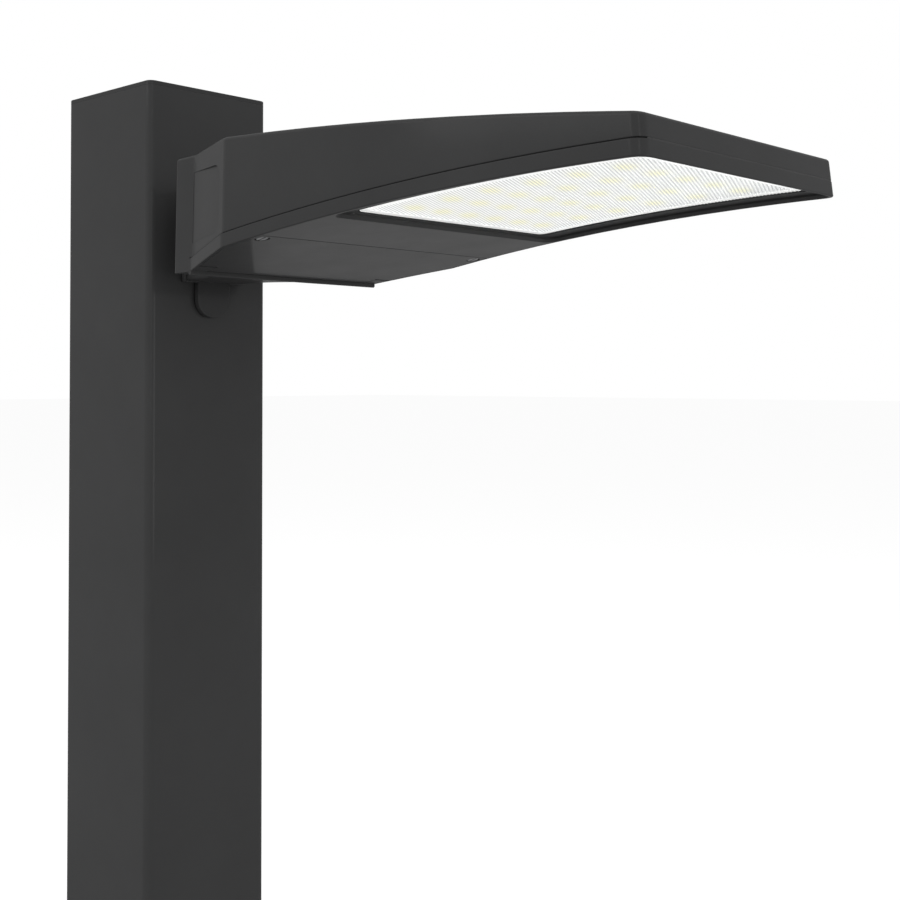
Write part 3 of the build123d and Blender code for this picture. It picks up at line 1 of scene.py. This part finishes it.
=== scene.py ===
import json
import math

import bmesh
import bpy
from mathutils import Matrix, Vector
from mathutils.kdtree import KDTree


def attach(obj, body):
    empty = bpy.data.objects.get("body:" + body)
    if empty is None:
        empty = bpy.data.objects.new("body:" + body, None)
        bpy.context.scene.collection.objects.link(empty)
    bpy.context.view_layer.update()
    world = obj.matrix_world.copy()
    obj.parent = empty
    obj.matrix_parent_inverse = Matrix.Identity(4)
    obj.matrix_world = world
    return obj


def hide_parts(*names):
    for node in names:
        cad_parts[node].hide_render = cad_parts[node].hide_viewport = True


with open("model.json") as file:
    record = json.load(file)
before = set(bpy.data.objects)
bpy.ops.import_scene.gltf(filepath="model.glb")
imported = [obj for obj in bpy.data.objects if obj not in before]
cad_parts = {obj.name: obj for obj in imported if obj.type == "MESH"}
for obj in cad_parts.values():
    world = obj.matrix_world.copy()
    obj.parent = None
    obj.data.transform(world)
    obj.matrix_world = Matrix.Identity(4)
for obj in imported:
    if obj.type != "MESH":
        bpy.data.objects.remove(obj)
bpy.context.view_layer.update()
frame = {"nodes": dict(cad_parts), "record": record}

# An LED area light on a square pole, in metres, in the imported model's own frame.
# X runs from the pole to the tip, Z is up, and the photograph looks in from -Y and the tip.

# Camera, fitted to the pole's and the housing's edges: metres, radians, and millimetres of film
CAMERA_PLACE = (0.98533, -0.70706, 0.53736)
CAMERA_YAW = 0.7635
CAMERA_PITCH = 0.0203
CAMERA_LENS = 52.515
CAMERA_SHIFT = (0.0423, -0.1090)
SENSOR = 36.0
NEAR_CLIP = 0.01

# The lens bay in millimetres, from the same sizes as the model
MM = 0.001
BASE_Z = 619.2
FRAME_X = 165.7
TIP_X = 589.2
SHOULDER_X = 238.0
ARCH_RISE = 38.1
ARCH_BULGE = 9.35
SHOULDER_HALF = 124.4
TIP_HALF = 115.8
SIDE_SLOPE = math.tan(math.radians(1.2))
LENS_X = 352.2
LENS_END_X = 577.3
LENS_MARGIN = 20.7
LENS_RECESS = 4.1
LENS_FACE = 2.5
LENS_WALL = 2.5
LENS_ROUND = 6.0
FLANGE_X = 342.8
FLANGE_END_X = 583.7
FLANGE_MARGIN = 12.8
FLANGE_LIFT = 7.1
FLANGE_TOP = 9.1
FACE_ROUND = 0.7
CORNER_STEPS = 6
SIDE_STEPS = 40

# The prisms on the lens in millimetres, their angle from the X axis in degrees, and the reach of
# the painted glow round each chip, along and across the prisms
PRISM_BORDER = 6.0
PRISM_PITCH = 2.4
PRISM_DEPTH = 0.8
PRISM_ANGLE = 65.0
PRISM_STEP = 5.0
PAINTED_GLOW_ALONG = 9.0
PAINTED_GLOW_ACROSS = 4.5
CUT_TOLERANCE = 1e-7


def bulged(first, last, bulge):
    """Centre and radius of the circle through two points, a bulge above their chord."""
    ax, az = first
    cx, cz = last
    bx, bz = (ax + cx) / 2, (az + cz) / 2 + bulge
    twice = 2 * (ax * (bz - cz) + bx * (cz - az) + cx * (az - bz))
    a2, b2, c2 = ax * ax + az * az, bx * bx + bz * bz, cx * cx + cz * cz
    x = (a2 * (bz - cz) + b2 * (cz - az) + c2 * (az - bz)) / twice
    z = (a2 * (cx - bx) + b2 * (ax - cx) + c2 * (bx - ax)) / twice
    return x, z, math.hypot(ax - x, az - z)


ARCH = bulged((FRAME_X, BASE_Z), (TIP_X, BASE_Z + ARCH_RISE), ARCH_BULGE)


def arch_z(x):
    """Height of the arched underside at x."""
    return ARCH[1] + math.sqrt(ARCH[2] ** 2 - (x - ARCH[0]) ** 2)


def flank(x):
    """Half width of the frame at its underside, past the shoulder."""
    share = (x - SHOULDER_X) / (TIP_X - SHOULDER_X)
    half = SHOULDER_HALF + (TIP_HALF - SHOULDER_HALF) * share
    return half - (arch_z(x) - BASE_Z) * SIDE_SLOPE


def place(x, y, lift):
    """A point at a lift above the arched underside, in metres."""
    return Vector((x, y, arch_z(x) + lift)) * MM


# Noise patterns of the finishes: lumps per metre, detail and roughness
CLOUD = (11.0, 3.0, 0.6)
SPECK = (2600.0, 1.0, 0.5)
WEAR = (60.0, 4.0, 0.7)
PEEL = (700.0, 2.0, 0.5)
RIPPLE = (190.0, 1.0, 0.5)
SHEEN = (25.0, 5.0, 0.65)
PATCHES = (45.0, 4.0, 0.7)
GRAIN = (1500.0, 2.0, 0.5)
COPPER = (60.0, 4.0, 0.6)
FINE = (900.0, 2.0, 0.5)
SILICONE = (2500.0, 1.0, 0.5)
HAZE = (35.0, 3.0, 0.6)
SMEAR = (80.0, 2.0, 0.5)
WAVE = (400.0, 2.0, 0.5)

# Detail and roughness of the patterns whose scale each finish gives
DRAWN = (3.0, 0.6)
MOTTLE = (4.0, 0.6)
MOTTLE_SHEEN = (3.0, 0.6)
MOTTLE_SHEEN_SCALE = 3

# The part of a pattern's range that a finish uses
MIDDLE = (0.3, 0.7)
WIDE = (0.25, 0.75)
SPECK_TOPS = (0.62, 0.78)
WEAR_TOPS = (0.35, 0.7)
CHIP_MIDDLE = (0.35, 0.65)
# Part of the valley mark's range that becomes painted shade
VALLEY_SHADE_PART = (0.30, 0.90)

# Depths of bump and radii of rounded edges, in metres
FAINT_DEPTH = 0.00001
GRAIN_DEPTH = 0.00002
PAINT_EDGE = 0.0007
PART_EDGE = 0.0004
EDGE_SAMPLES = 4
EDGE_DOTS = (0.985, 0.80)

# Paint
SPECK_SHARE = 0.35
WEAR_SHARE = 0.35
RIPPLE_SHARE = 0.6
PAINT_ROUGH = (0.50, 0.56)
PAINT_SPECULAR = 0.02
COAT_SHARE = 0.08
COAT_ROUGH = 0.10

# Metal and moulded finishes: how far their edges and their roughness leave the rest
METAL_EDGE = 0.5
METAL_EDGE_LIGHT = 1.3
METAL_ROUGH = (-0.08, 0.12)
MOULDED_EDGE = 0.35
MOULDED_EDGE_GREY = 0.5
MOULDED_EDGE_SHARE = 0.25
MOULDED_ROUGH = (-0.05, 0.07)

# Gloss of the lamp's pieces, glow of its chips, and painted glow on its board and lens
BOARD_ROUGH = 0.35
BOARD_PAINTED_GLOW = 0.30
CHIP_ROUGH = 0.25
CHIP_GLOW = 0.60
LENS_ROUGH = (0.18, 0.24)
LENS_IOR = 1.49
LENS_CLEAR = 0.35
# Painted glow of the lens, as if lit from within
LENS_PAINTED_GLOW = 0.25
# Share of painted shade, a darker grey, in the prisms' valleys
VALLEY_SHADE_SHARE = 0.80

# Sockets of a colour mix, which share their names with others of its node
MIX_SHARE, MIX_FIRST, MIX_SECOND, MIX_RESULT = 0, 6, 7, 2


class Nodes:
    """A material under construction, with one Principled shader."""

    def __init__(self, name):
        self.material = bpy.data.materials.new(name)
        self.material.use_nodes = True
        self.tree = self.material.node_tree
        self.shader = self.tree.nodes["Principled BSDF"]
        self.place = self.add("ShaderNodeTexCoord").outputs["Object"]

    def add(self, kind, **settings):
        """Adds a node. A setting names a socket, or an attribute of the node in lower case."""
        node = self.tree.nodes.new(kind)
        for key, value in settings.items():
            if key in node.inputs:
                self.put(node.inputs[key], value)
            elif hasattr(node, key):
                setattr(node, key, value)
            else:
                raise KeyError(kind + " " + key)
        return node

    def put(self, socket, value):
        """Links an output to a socket, or sets its value."""
        if isinstance(value, bpy.types.NodeSocket):
            self.tree.links.new(value, socket)
        else:
            socket.default_value = value

    def noise(self, scale, detail, rough, stretch=(1, 1, 1)):
        """A noise pattern, in lumps per metre."""
        drawn = self.add("ShaderNodeMapping", Vector=self.place, Scale=stretch)
        return self.add("ShaderNodeTexNoise", Vector=drawn.outputs[0], Scale=scale,
                        Detail=detail, Roughness=rough).outputs["Fac"]

    def spread(self, value, low, high, to_low=0.0, to_high=1.0):
        """Maps a range to another, and cuts off what lies outside."""
        node = self.add("ShaderNodeMapRange", Value=value)
        for name, number in (("From Min", low), ("From Max", high),
                             ("To Min", to_low), ("To Max", to_high)):
            self.put(node.inputs[name], number)
        return node.outputs[0]

    def combine(self, first, second, operation="MULTIPLY"):
        """The product of two values, or the result of another operation."""
        node = self.add("ShaderNodeMath", operation=operation)
        self.put(node.inputs[0], first)
        self.put(node.inputs[1], second)
        return node.outputs[0]

    def mix(self, share, first, second):
        """A blend of two colours."""
        node = self.add("ShaderNodeMix", data_type="RGBA")
        self.put(node.inputs[MIX_SHARE], share)
        for socket, colour in ((node.inputs[MIX_FIRST], first), (node.inputs[MIX_SECOND], second)):
            self.put(socket, colour if isinstance(colour, bpy.types.NodeSocket) else (*colour, 1))
        return node.outputs[MIX_RESULT]

    def edges(self, width):
        """Rounded normals, and where they leave the flat ones: 1 on an edge, 0 elsewhere."""
        soft = self.add("ShaderNodeBevel", Radius=width, samples=EDGE_SAMPLES).outputs[0]
        flat = self.add("ShaderNodeNewGeometry").outputs["Normal"]
        dot = self.add("ShaderNodeVectorMath", operation="DOT_PRODUCT")
        self.put(dot.inputs[0], soft)
        self.put(dot.inputs[1], flat)
        return soft, self.spread(dot.outputs["Value"], *EDGE_DOTS)

    def bump(self, height, depth, normal=None):
        """A normal that follows a height pattern."""
        node = self.add("ShaderNodeBump", Height=height, Distance=depth, Strength=1.0)
        if normal is not None:
            self.put(node.inputs["Normal"], normal)
        return node.outputs[0]

    def set(self, **values):
        """Sets or links the shader's own sockets, with _ for a space in their names."""
        for key, value in values.items():
            socket = self.shader.inputs[key.replace("_", " ")]
            if isinstance(value, tuple) and len(value) == 3:
                value = (*value, 1)
            self.put(socket, value)


def powder_coat(name, dark, light, worn):
    """Matt textured paint under a thin gloss: cloudy tone, orange peel, specks, rubbed edges."""
    n = Nodes(name)
    cloud = n.noise(*CLOUD)
    speck = n.noise(*SPECK)
    soft, edge = n.edges(PAINT_EDGE)
    tone = n.mix(n.spread(cloud, *MIDDLE), dark, light)
    tone = n.mix(n.spread(speck, *SPECK_TOPS, 0.0, SPECK_SHARE), tone, worn)
    rubbed = n.combine(edge, n.spread(n.noise(*WEAR), *WEAR_TOPS, 0.0, WEAR_SHARE))
    colour = n.mix(rubbed, tone, worn)
    peel = n.combine(n.noise(*PEEL), n.combine(n.noise(*RIPPLE), RIPPLE_SHARE), "ADD")
    gloss = n.spread(n.noise(*SHEEN), *MIDDLE, *PAINT_ROUGH)
    n.set(Base_Color=colour, Roughness=gloss, Normal=n.bump(peel, GRAIN_DEPTH, soft),
          Specular_IOR_Level=PAINT_SPECULAR, Coat_Weight=COAT_SHARE, Coat_Roughness=COAT_ROUGH,
          Coat_Normal=soft)
    return n.material


def metal(name, dark, light, rough, stretch, scale, depth):
    """Bare or plated metal with drawn or turned lines and a few dull patches."""
    n = Nodes(name)
    soft, edge = n.edges(PART_EDGE)
    lines = n.noise(scale, *DRAWN, stretch)
    patches = n.noise(*PATCHES)
    bright = tuple(min(1.0, METAL_EDGE_LIGHT * c) for c in light)
    tone = n.mix(n.spread(lines, *MIDDLE), dark, light)
    tone = n.mix(n.combine(edge, METAL_EDGE), tone, bright)
    gloss = n.spread(patches, *WIDE, *(rough + step for step in METAL_ROUGH))
    n.set(Base_Color=tone, Metallic=1.0, Roughness=gloss, Normal=n.bump(lines, depth, soft))
    return n.material


def moulded(name, dark, light, rough, scale=30.0, level=0.5):
    """Plastic, rubber or potting: slight mottling, a fine moulded grain, dulled edges."""
    n = Nodes(name)
    soft, edge = n.edges(PART_EDGE)
    dulled = tuple(c + (MOULDED_EDGE_GREY - c) * MOULDED_EDGE_SHARE for c in light)
    tone = n.mix(n.spread(n.noise(scale, *MOTTLE), *MIDDLE), dark, light)
    tone = n.mix(n.combine(edge, MOULDED_EDGE), tone, dulled)
    sheen = n.noise(scale * MOTTLE_SHEEN_SCALE, *MOTTLE_SHEEN)
    gloss = n.spread(sheen, *MIDDLE, *(rough + step for step in MOULDED_ROUGH))
    n.set(Base_Color=tone, Roughness=gloss, Specular_IOR_Level=level,
          Normal=n.bump(n.noise(*GRAIN), GRAIN_DEPTH, soft))
    return n.material


def circuit_board():
    """White solder mask over faint copper areas, with a painted glow for the light of its chips.
    """
    n = Nodes("board")
    copper = n.spread(n.noise(*COPPER), *MIDDLE)
    tone = n.mix(copper, (0.80, 0.81, 0.80), (0.88, 0.89, 0.88))
    # The board glows with a painted light, standing in for the light of its chips
    n.set(Base_Color=tone, Roughness=BOARD_ROUGH, Normal=n.bump(n.noise(*FINE), FAINT_DEPTH),
          Emission_Color=(1.0, 1.0, 0.99), Emission_Strength=BOARD_PAINTED_GLOW)
    return n.material


def phosphor():
    """Yellow phosphor under silicone, paler in patches, on a chip that glows faintly."""
    n = Nodes("phosphor")
    pale = n.spread(n.noise(*FINE), *CHIP_MIDDLE)
    tone = n.mix(pale, (0.90, 0.66, 0.10), (0.95, 0.78, 0.22))
    n.set(Base_Color=tone, Roughness=CHIP_ROUGH, Normal=n.bump(n.noise(*SILICONE), FAINT_DEPTH),
          Emission_Color=(1.0, 0.90, 0.30), Emission_Strength=CHIP_GLOW)
    return n.material


def lens_material():
    """Milky acrylic, with painted shade in the valleys of its prisms, a painted yellow glow below
    the chips, and a painted glow all over.
    """
    n = Nodes("lens_clear")
    painted_valley_shade = n.add("ShaderNodeAttribute", attribute_name="painted_valley_shade").outputs["Fac"]
    painted_chip_glow = n.add("ShaderNodeAttribute", attribute_name="painted_chip_glow").outputs["Fac"]
    haze = n.spread(n.noise(*HAZE), *MIDDLE)
    base = n.mix(haze, (0.93, 0.94, 0.94), (0.97, 0.97, 0.96))
    # Painted glow: yellower where chips lie behind the lens
    with_painted_glow = n.mix(painted_chip_glow, base, (0.97, 0.95, 0.70))
    # Painted shade: darker grey in the valleys of the prisms
    shaded = n.spread(painted_valley_shade, *VALLEY_SHADE_PART, 0.0, VALLEY_SHADE_SHARE)
    colour = n.mix(shaded, with_painted_glow, (0.30, 0.31, 0.32))
    gloss = n.spread(n.noise(*SMEAR), *MIDDLE, *LENS_ROUGH)
    # The lens glows with a painted light
    n.set(Base_Color=colour, Roughness=gloss, IOR=LENS_IOR, Transmission_Weight=LENS_CLEAR,
          Normal=n.bump(n.noise(*WAVE), FAINT_DEPTH),
          Emission_Color=colour, Emission_Strength=LENS_PAINTED_GLOW)
    return n.material


# Each finish: its two tones, then roughness, and for metal the stretch, scale and depth of lines
FINISHES = {
    "charcoal_paint": powder_coat("charcoal_paint", (0.0385, 0.0386, 0.0390),
                                  (0.0430, 0.0431, 0.0435), (0.070, 0.071, 0.072)),
    "pole_paint": powder_coat("pole_paint", (0.0430, 0.0431, 0.0435),
                              (0.0470, 0.0471, 0.0475), (0.070, 0.071, 0.072)),
    "steel": metal("steel", (0.50, 0.51, 0.53), (0.62, 0.63, 0.64), 0.30,
                   (1, 1, 8), 500.0, FAINT_DEPTH),
    "dark_steel": metal("dark_steel", (0.050, 0.051, 0.054), (0.085, 0.086, 0.090), 0.38,
                        (8, 8, 1), 700.0, FAINT_DEPTH),
    "raw_aluminium": metal("raw_aluminium", (0.62, 0.63, 0.64), (0.76, 0.77, 0.78), 0.34,
                           (1, 14, 14), 120.0, GRAIN_DEPTH),
    "black_rubber": moulded("black_rubber", (0.007, 0.007, 0.007), (0.012, 0.012, 0.012), 0.75,
                            level=0.06),
    "lens_clear": lens_material(),
    "board": circuit_board(),
    "phosphor": phosphor(),
    "white_plastic": moulded("white_plastic", (0.72, 0.72, 0.70), (0.82, 0.82, 0.80), 0.42),
    "driver_case": moulded("driver_case", (0.040, 0.040, 0.043), (0.060, 0.060, 0.064), 0.45),
    "surge_case": moulded("surge_case", (0.22, 0.22, 0.24), (0.28, 0.28, 0.30), 0.50),
    "green_screw": metal("green_screw", (0.03, 0.24, 0.07), (0.06, 0.34, 0.12), 0.35,
                         (1, 1, 6), 500.0, FAINT_DEPTH),
    "wire": moulded("wire", (0.015, 0.015, 0.016), (0.028, 0.028, 0.030), 0.50, 60.0),
    "nut_orange": moulded("nut_orange", (0.62, 0.19, 0.03), (0.74, 0.26, 0.05), 0.45),
}

slot_of = {part["node"]: part["material_slot"] for part in frame["record"]["subparts"]}
for node, obj in frame["nodes"].items():
    finish = FINISHES[slot_of[node]]
    for holder in obj.material_slots:
        holder.material = finish


# Lens: a pan with a smooth border round a field of diagonal prisms
def rounded_quad(x0, x1, margin, corner):
    """Plan of a bay outline, run round once from the near rear corner, with many points."""
    y0 = flank(x0) - margin
    y1 = flank(x1) - margin
    corners = [(x0, -y0), (x1, -y1), (x1, y1), (x0, y0)]
    outline = []
    for i, here in enumerate(corners):
        before = Vector(corners[i - 1])
        after = Vector(corners[(i + 1) % len(corners)])
        here = Vector(here)
        inward = (before - here).normalized()
        onward = (after - here).normalized()
        half = inward.angle(onward) / 2
        reach = corner / math.tan(half)
        centre = here + (inward + onward).normalized() * (corner / math.sin(half))
        first = here + inward * reach
        last = here + onward * reach
        a0 = math.atan2(*(first - centre).yx)
        a1 = math.atan2(*(last - centre).yx)
        if a1 < a0:
            a1 += 2 * math.pi
        for k in range(CORNER_STEPS + 1):
            angle = a0 + (a1 - a0) * k / CORNER_STEPS
            outline.append(centre + Vector((math.cos(angle), math.sin(angle))) * corner)
        end = after - onward * reach
        for k in range(1, SIDE_STEPS):
            outline.append(last.lerp(end, k / SIDE_STEPS))
    return outline


def ring(mesh, outline, lift):
    """One closed ring of vertices over an outline at a lift."""
    return [mesh.verts.new(place(p.x, p.y, lift)) for p in outline]


def skin(mesh, rings):
    """Faces between each ring and the next, and from the last back to the first."""
    for one, two in zip(rings, rings[1:] + rings[:1]):
        for i in range(len(one)):
            j = (i + 1) % len(one)
            mesh.faces.new((one[i], one[j], two[j], two[i]))


def lens_pan(mesh):
    """The lens's flange, walls and smooth border, open where the prisms go."""
    def inside(step, corner):
        """Plan of the lens, set in by a step."""
        return LENS_X + step, LENS_END_X - step, LENS_MARGIN + step, corner

    face_top = LENS_RECESS + LENS_FACE
    hole = inside(PRISM_BORDER, FACE_ROUND)
    outer = inside(0.0, LENS_ROUND)
    lip = inside(FACE_ROUND, LENS_ROUND - FACE_ROUND)
    inner = inside(LENS_WALL, LENS_ROUND - LENS_WALL)
    flange = (FLANGE_X, FLANGE_END_X, FLANGE_MARGIN, LENS_ROUND)
    levels = [(hole, LENS_RECESS), (lip, LENS_RECESS), (outer, LENS_RECESS + FACE_ROUND),
              (outer, FLANGE_LIFT), (flange, FLANGE_LIFT), (flange, FLANGE_TOP),
              (inner, FLANGE_TOP), (inner, face_top), (hole, face_top)]
    skin(mesh, [ring(mesh, rounded_quad(*plan), lift) for plan, lift in levels])


def chip_places():
    """Plan places of the chips behind the lens, in millimetres."""
    places = []
    for node in ("leds_rear", "leds_front"):
        mesh = bmesh.new()
        mesh.from_mesh(frame["nodes"][node].data)
        left = set(mesh.verts)
        while left:
            group = [left.pop()]
            for vertex in group:
                for edge in vertex.link_edges:
                    other = edge.other_vert(vertex)
                    if other in left:
                        left.remove(other)
                        group.append(other)
            low = [min(v.co[i] for v in group) for i in (0, 1)]
            high = [max(v.co[i] for v in group) for i in (0, 1)]
            places.append(Vector(((low[0] + high[0]) / 2, (low[1] + high[1]) / 2)) / MM)
        mesh.free()
    return places


def prism_field(mesh):
    """A closed slab whose lower face is a row of sharp diagonal prisms.

    Two values on its vertices say where the valleys are, for painted shade, and how near a chip
    is, for a painted glow.
    """
    angle = math.radians(PRISM_ANGLE)
    along = Vector((math.cos(angle), -math.sin(angle)))
    across = Vector((math.sin(angle), math.cos(angle)))
    x0, x1 = LENS_X + PRISM_BORDER, LENS_END_X - PRISM_BORDER
    middle = Vector(((x0 + x1) / 2, 0))
    reach = math.hypot(x1 - x0, 2 * flank(x0)) / 2
    rows = 2 * math.ceil(reach / PRISM_PITCH)
    columns = math.ceil(reach / PRISM_STEP)
    top = LENS_RECESS + LENS_FACE
    painted_valley_shade = mesh.verts.layers.float.new("painted_valley_shade")
    painted_chip_glow = mesh.verts.layers.float.new("painted_chip_glow")
    chips = chip_places()
    grids = {}
    for level in ("bottom", "top"):
        for i in range(-rows, rows + 1):
            for j in range(-columns, columns + 1):
                p = middle + across * (i * PRISM_PITCH / 2) + along * (j * PRISM_STEP)
                x = min(max(p.x, FRAME_X), TIP_X)
                lift = top if level == "top" else LENS_RECESS + PRISM_DEPTH * (i % 2)
                vertex = mesh.verts.new(Vector((p.x, p.y, arch_z(x) + lift)) * MM)
                # Marks the valleys, where shade is painted on the lens
                vertex[painted_valley_shade] = float(i % 2 and level == "bottom")
                near = min(math.hypot((p - chip).dot(along) / PAINTED_GLOW_ALONG,
                                      (p - chip).dot(across) / PAINTED_GLOW_ACROSS) for chip in chips)
                # Nearness of a chip, for the painted glow
                vertex[painted_chip_glow] = math.exp(-near * near)
                grids[level, i, j] = vertex
    for i in range(-rows, rows):
        for j in range(-columns, columns):
            for level in ("bottom", "top"):
                quad = [grids[level, i, j], grids[level, i + 1, j],
                        grids[level, i + 1, j + 1], grids[level, i, j + 1]]
                mesh.faces.new(quad if level == "top" else quad[::-1])
    y0 = flank(x0) - LENS_MARGIN - PRISM_BORDER
    y1 = flank(x1) - LENS_MARGIN - PRISM_BORDER
    sides = [((x0, 0), (-1, 0)), ((x1, 0), (1, 0)),
             ((x0, -y0), (-(y0 - y1), -(x1 - x0))), ((x0, y0), (-(y0 - y1), x1 - x0))]
    for point, outward in sides:
        geometry = list(mesh.verts) + list(mesh.edges) + list(mesh.faces)
        bmesh.ops.bisect_plane(
            mesh, geom=geometry, dist=CUT_TOLERANCE, plane_co=Vector((*point, 0)) * MM,
            plane_no=Vector((*outward, 0)).normalized(), clear_outer=True)
    close_rim(mesh, (LENS_RECESS + PRISM_DEPTH + top) / 2)


def close_rim(mesh, level):
    """Walls between the rims of two sheets that match in plan, one below a lift and one above."""
    rim = [edge for edge in mesh.edges if len(edge.link_faces) == 1]
    upper = {}
    lower = []
    for edge in rim:
        for vertex in edge.verts:
            x, y, z = vertex.co / MM
            if z - arch_z(x) > level:
                upper[vertex] = True
        if not any(vertex in upper for vertex in edge.verts):
            lower.append(edge)
    above = list(upper)
    tree = KDTree(len(above))
    for i, vertex in enumerate(above):
        tree.insert((vertex.co.x, vertex.co.y, 0), i)
    tree.balance()
    for edge in lower:
        a, b = edge.verts
        c, d = (above[tree.find((v.co.x, v.co.y, 0))[1]] for v in (b, a))
        if c != d:
            mesh.faces.new((a, b, c, d))


def as_object(name, build):
    """A mesh object from a function that fills an empty mesh."""
    mesh = bmesh.new()
    build(mesh)
    bmesh.ops.recalc_face_normals(mesh, faces=mesh.faces)
    data = bpy.data.meshes.new(name)
    mesh.to_mesh(data)
    mesh.free()
    obj = bpy.data.objects.new(name, data)
    bpy.context.scene.collection.objects.link(obj)
    return obj


lens_body = as_object("lens_pan", lens_pan)
lens_prisms = as_object("lens_prisms", prism_field)
for piece in (lens_body, lens_prisms):
    piece.data.materials.append(FINISHES["lens_clear"])
    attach(piece, "post_and_housing")
    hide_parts("lens")


# Floor, world, lamps and camera, in metres and watts
FLOOR_SIDE = 60.0
FLOOR_DROP = 0.0005
WORLD_LEVEL = 0.70
FLOOR_ALBEDO = 0.44
FLOOR_LIFT = 0.66
HEAD = (0.2, 0.0, 0.55)
LOWER_POLE = (0.0, 0.0, 0.3)

# Each lamp's name, place, target, width, height and power
LAMPS = (
    ("key", (-0.6, -2.2, 2.0), HEAD, 1.6, 1.6, 31.0),
    ("top", (0.6, 0.3, 2.6), HEAD, 1.8, 1.8, 12.0),
    ("strip", (3.05, -1.75, 1.17), HEAD, 0.30, 1.6, 9.0),
    ("fill", (3.0, 0.9, 0.5), LOWER_POLE, 1.2, 1.2, 18.0),
)


def white_ray(tree):
    """1 for rays from the camera, off gloss or through glass, else 0."""
    path = tree.nodes.new("ShaderNodeLightPath")
    total = None
    for name in ("Is Camera Ray", "Is Glossy Ray", "Is Transmission Ray"):
        if total is None:
            total = path.outputs[name]
            continue
        node = tree.nodes.new("ShaderNodeMath")
        node.operation = "MAXIMUM"
        tree.links.new(total, node.inputs[0])
        tree.links.new(path.outputs[name], node.inputs[1])
        total = node.outputs[0]
    return total


def set_world():
    """Even surroundings, seen as plain white."""
    world = bpy.data.worlds.new("surroundings")
    bpy.context.scene.world = world
    world.use_nodes = True
    tree = world.node_tree
    level = tree.nodes.new("ShaderNodeMapRange")
    tree.links.new(white_ray(tree), level.inputs["Value"])
    level.inputs["To Min"].default_value = WORLD_LEVEL
    level.inputs["To Max"].default_value = 1.0
    background = tree.nodes["Background"]
    background.inputs["Color"].default_value = (1, 1, 1, 1)
    tree.links.new(level.outputs[0], background.inputs["Strength"])


def add_floor():
    """A wide pale floor that keeps the object's shadow."""
    half = FLOOR_SIDE / 2
    mesh = bpy.data.meshes.new("floor")
    corners = [(-half, -half), (half, -half), (half, half), (-half, half)]
    mesh.from_pydata([(x, y, -FLOOR_DROP) for x, y in corners], [], [(0, 1, 2, 3)])
    floor = bpy.data.objects.new("floor", mesh)
    bpy.context.scene.collection.objects.link(floor)
    material = bpy.data.materials.new("floor")
    material.use_nodes = True
    tree = material.node_tree
    tree.nodes.remove(tree.nodes["Principled BSDF"])
    diffuse = tree.nodes.new("ShaderNodeBsdfDiffuse")
    diffuse.inputs["Color"].default_value = (FLOOR_ALBEDO, FLOOR_ALBEDO, FLOOR_ALBEDO, 1)
    lift = tree.nodes.new("ShaderNodeEmission")
    strength = tree.nodes.new("ShaderNodeMath")
    strength.operation = "MULTIPLY"
    strength.inputs[1].default_value = FLOOR_LIFT
    tree.links.new(white_ray(tree), strength.inputs[0])
    tree.links.new(strength.outputs[0], lift.inputs["Strength"])
    both = tree.nodes.new("ShaderNodeAddShader")
    tree.links.new(diffuse.outputs[0], both.inputs[0])
    tree.links.new(lift.outputs[0], both.inputs[1])
    tree.links.new(both.outputs[0], tree.nodes["Material Output"].inputs["Surface"])
    mesh.materials.append(material)


def add_lamp(name, spot, target, width, height, watts):
    """A soft rectangular lamp aimed at a point."""
    lamp = bpy.data.lights.new(name, "AREA")
    lamp.shape = "RECTANGLE"
    lamp.size = width
    lamp.size_y = height
    lamp.energy = watts
    obj = bpy.data.objects.new(name, lamp)
    obj.location = spot
    aim = Vector(target) - Vector(spot)
    obj.rotation_euler = aim.to_track_quat("-Z", "Y").to_euler()
    bpy.context.scene.collection.objects.link(obj)


def add_camera():
    """The camera that took the photograph, as fitted."""
    film = bpy.data.cameras.new("camera")
    film.sensor_width = SENSOR
    film.lens = CAMERA_LENS
    film.shift_x, film.shift_y = CAMERA_SHIFT
    film.clip_start = NEAR_CLIP
    camera = bpy.data.objects.new("camera", film)
    camera.location = CAMERA_PLACE
    camera.rotation_euler = (math.pi / 2 + CAMERA_PITCH, 0, CAMERA_YAW)
    bpy.context.scene.collection.objects.link(camera)
    bpy.context.scene.camera = camera


set_world()
add_floor()
for lamp_row in LAMPS:
    add_lamp(*lamp_row)
add_camera()
bpy.context.scene.view_settings.view_transform = "Standard"
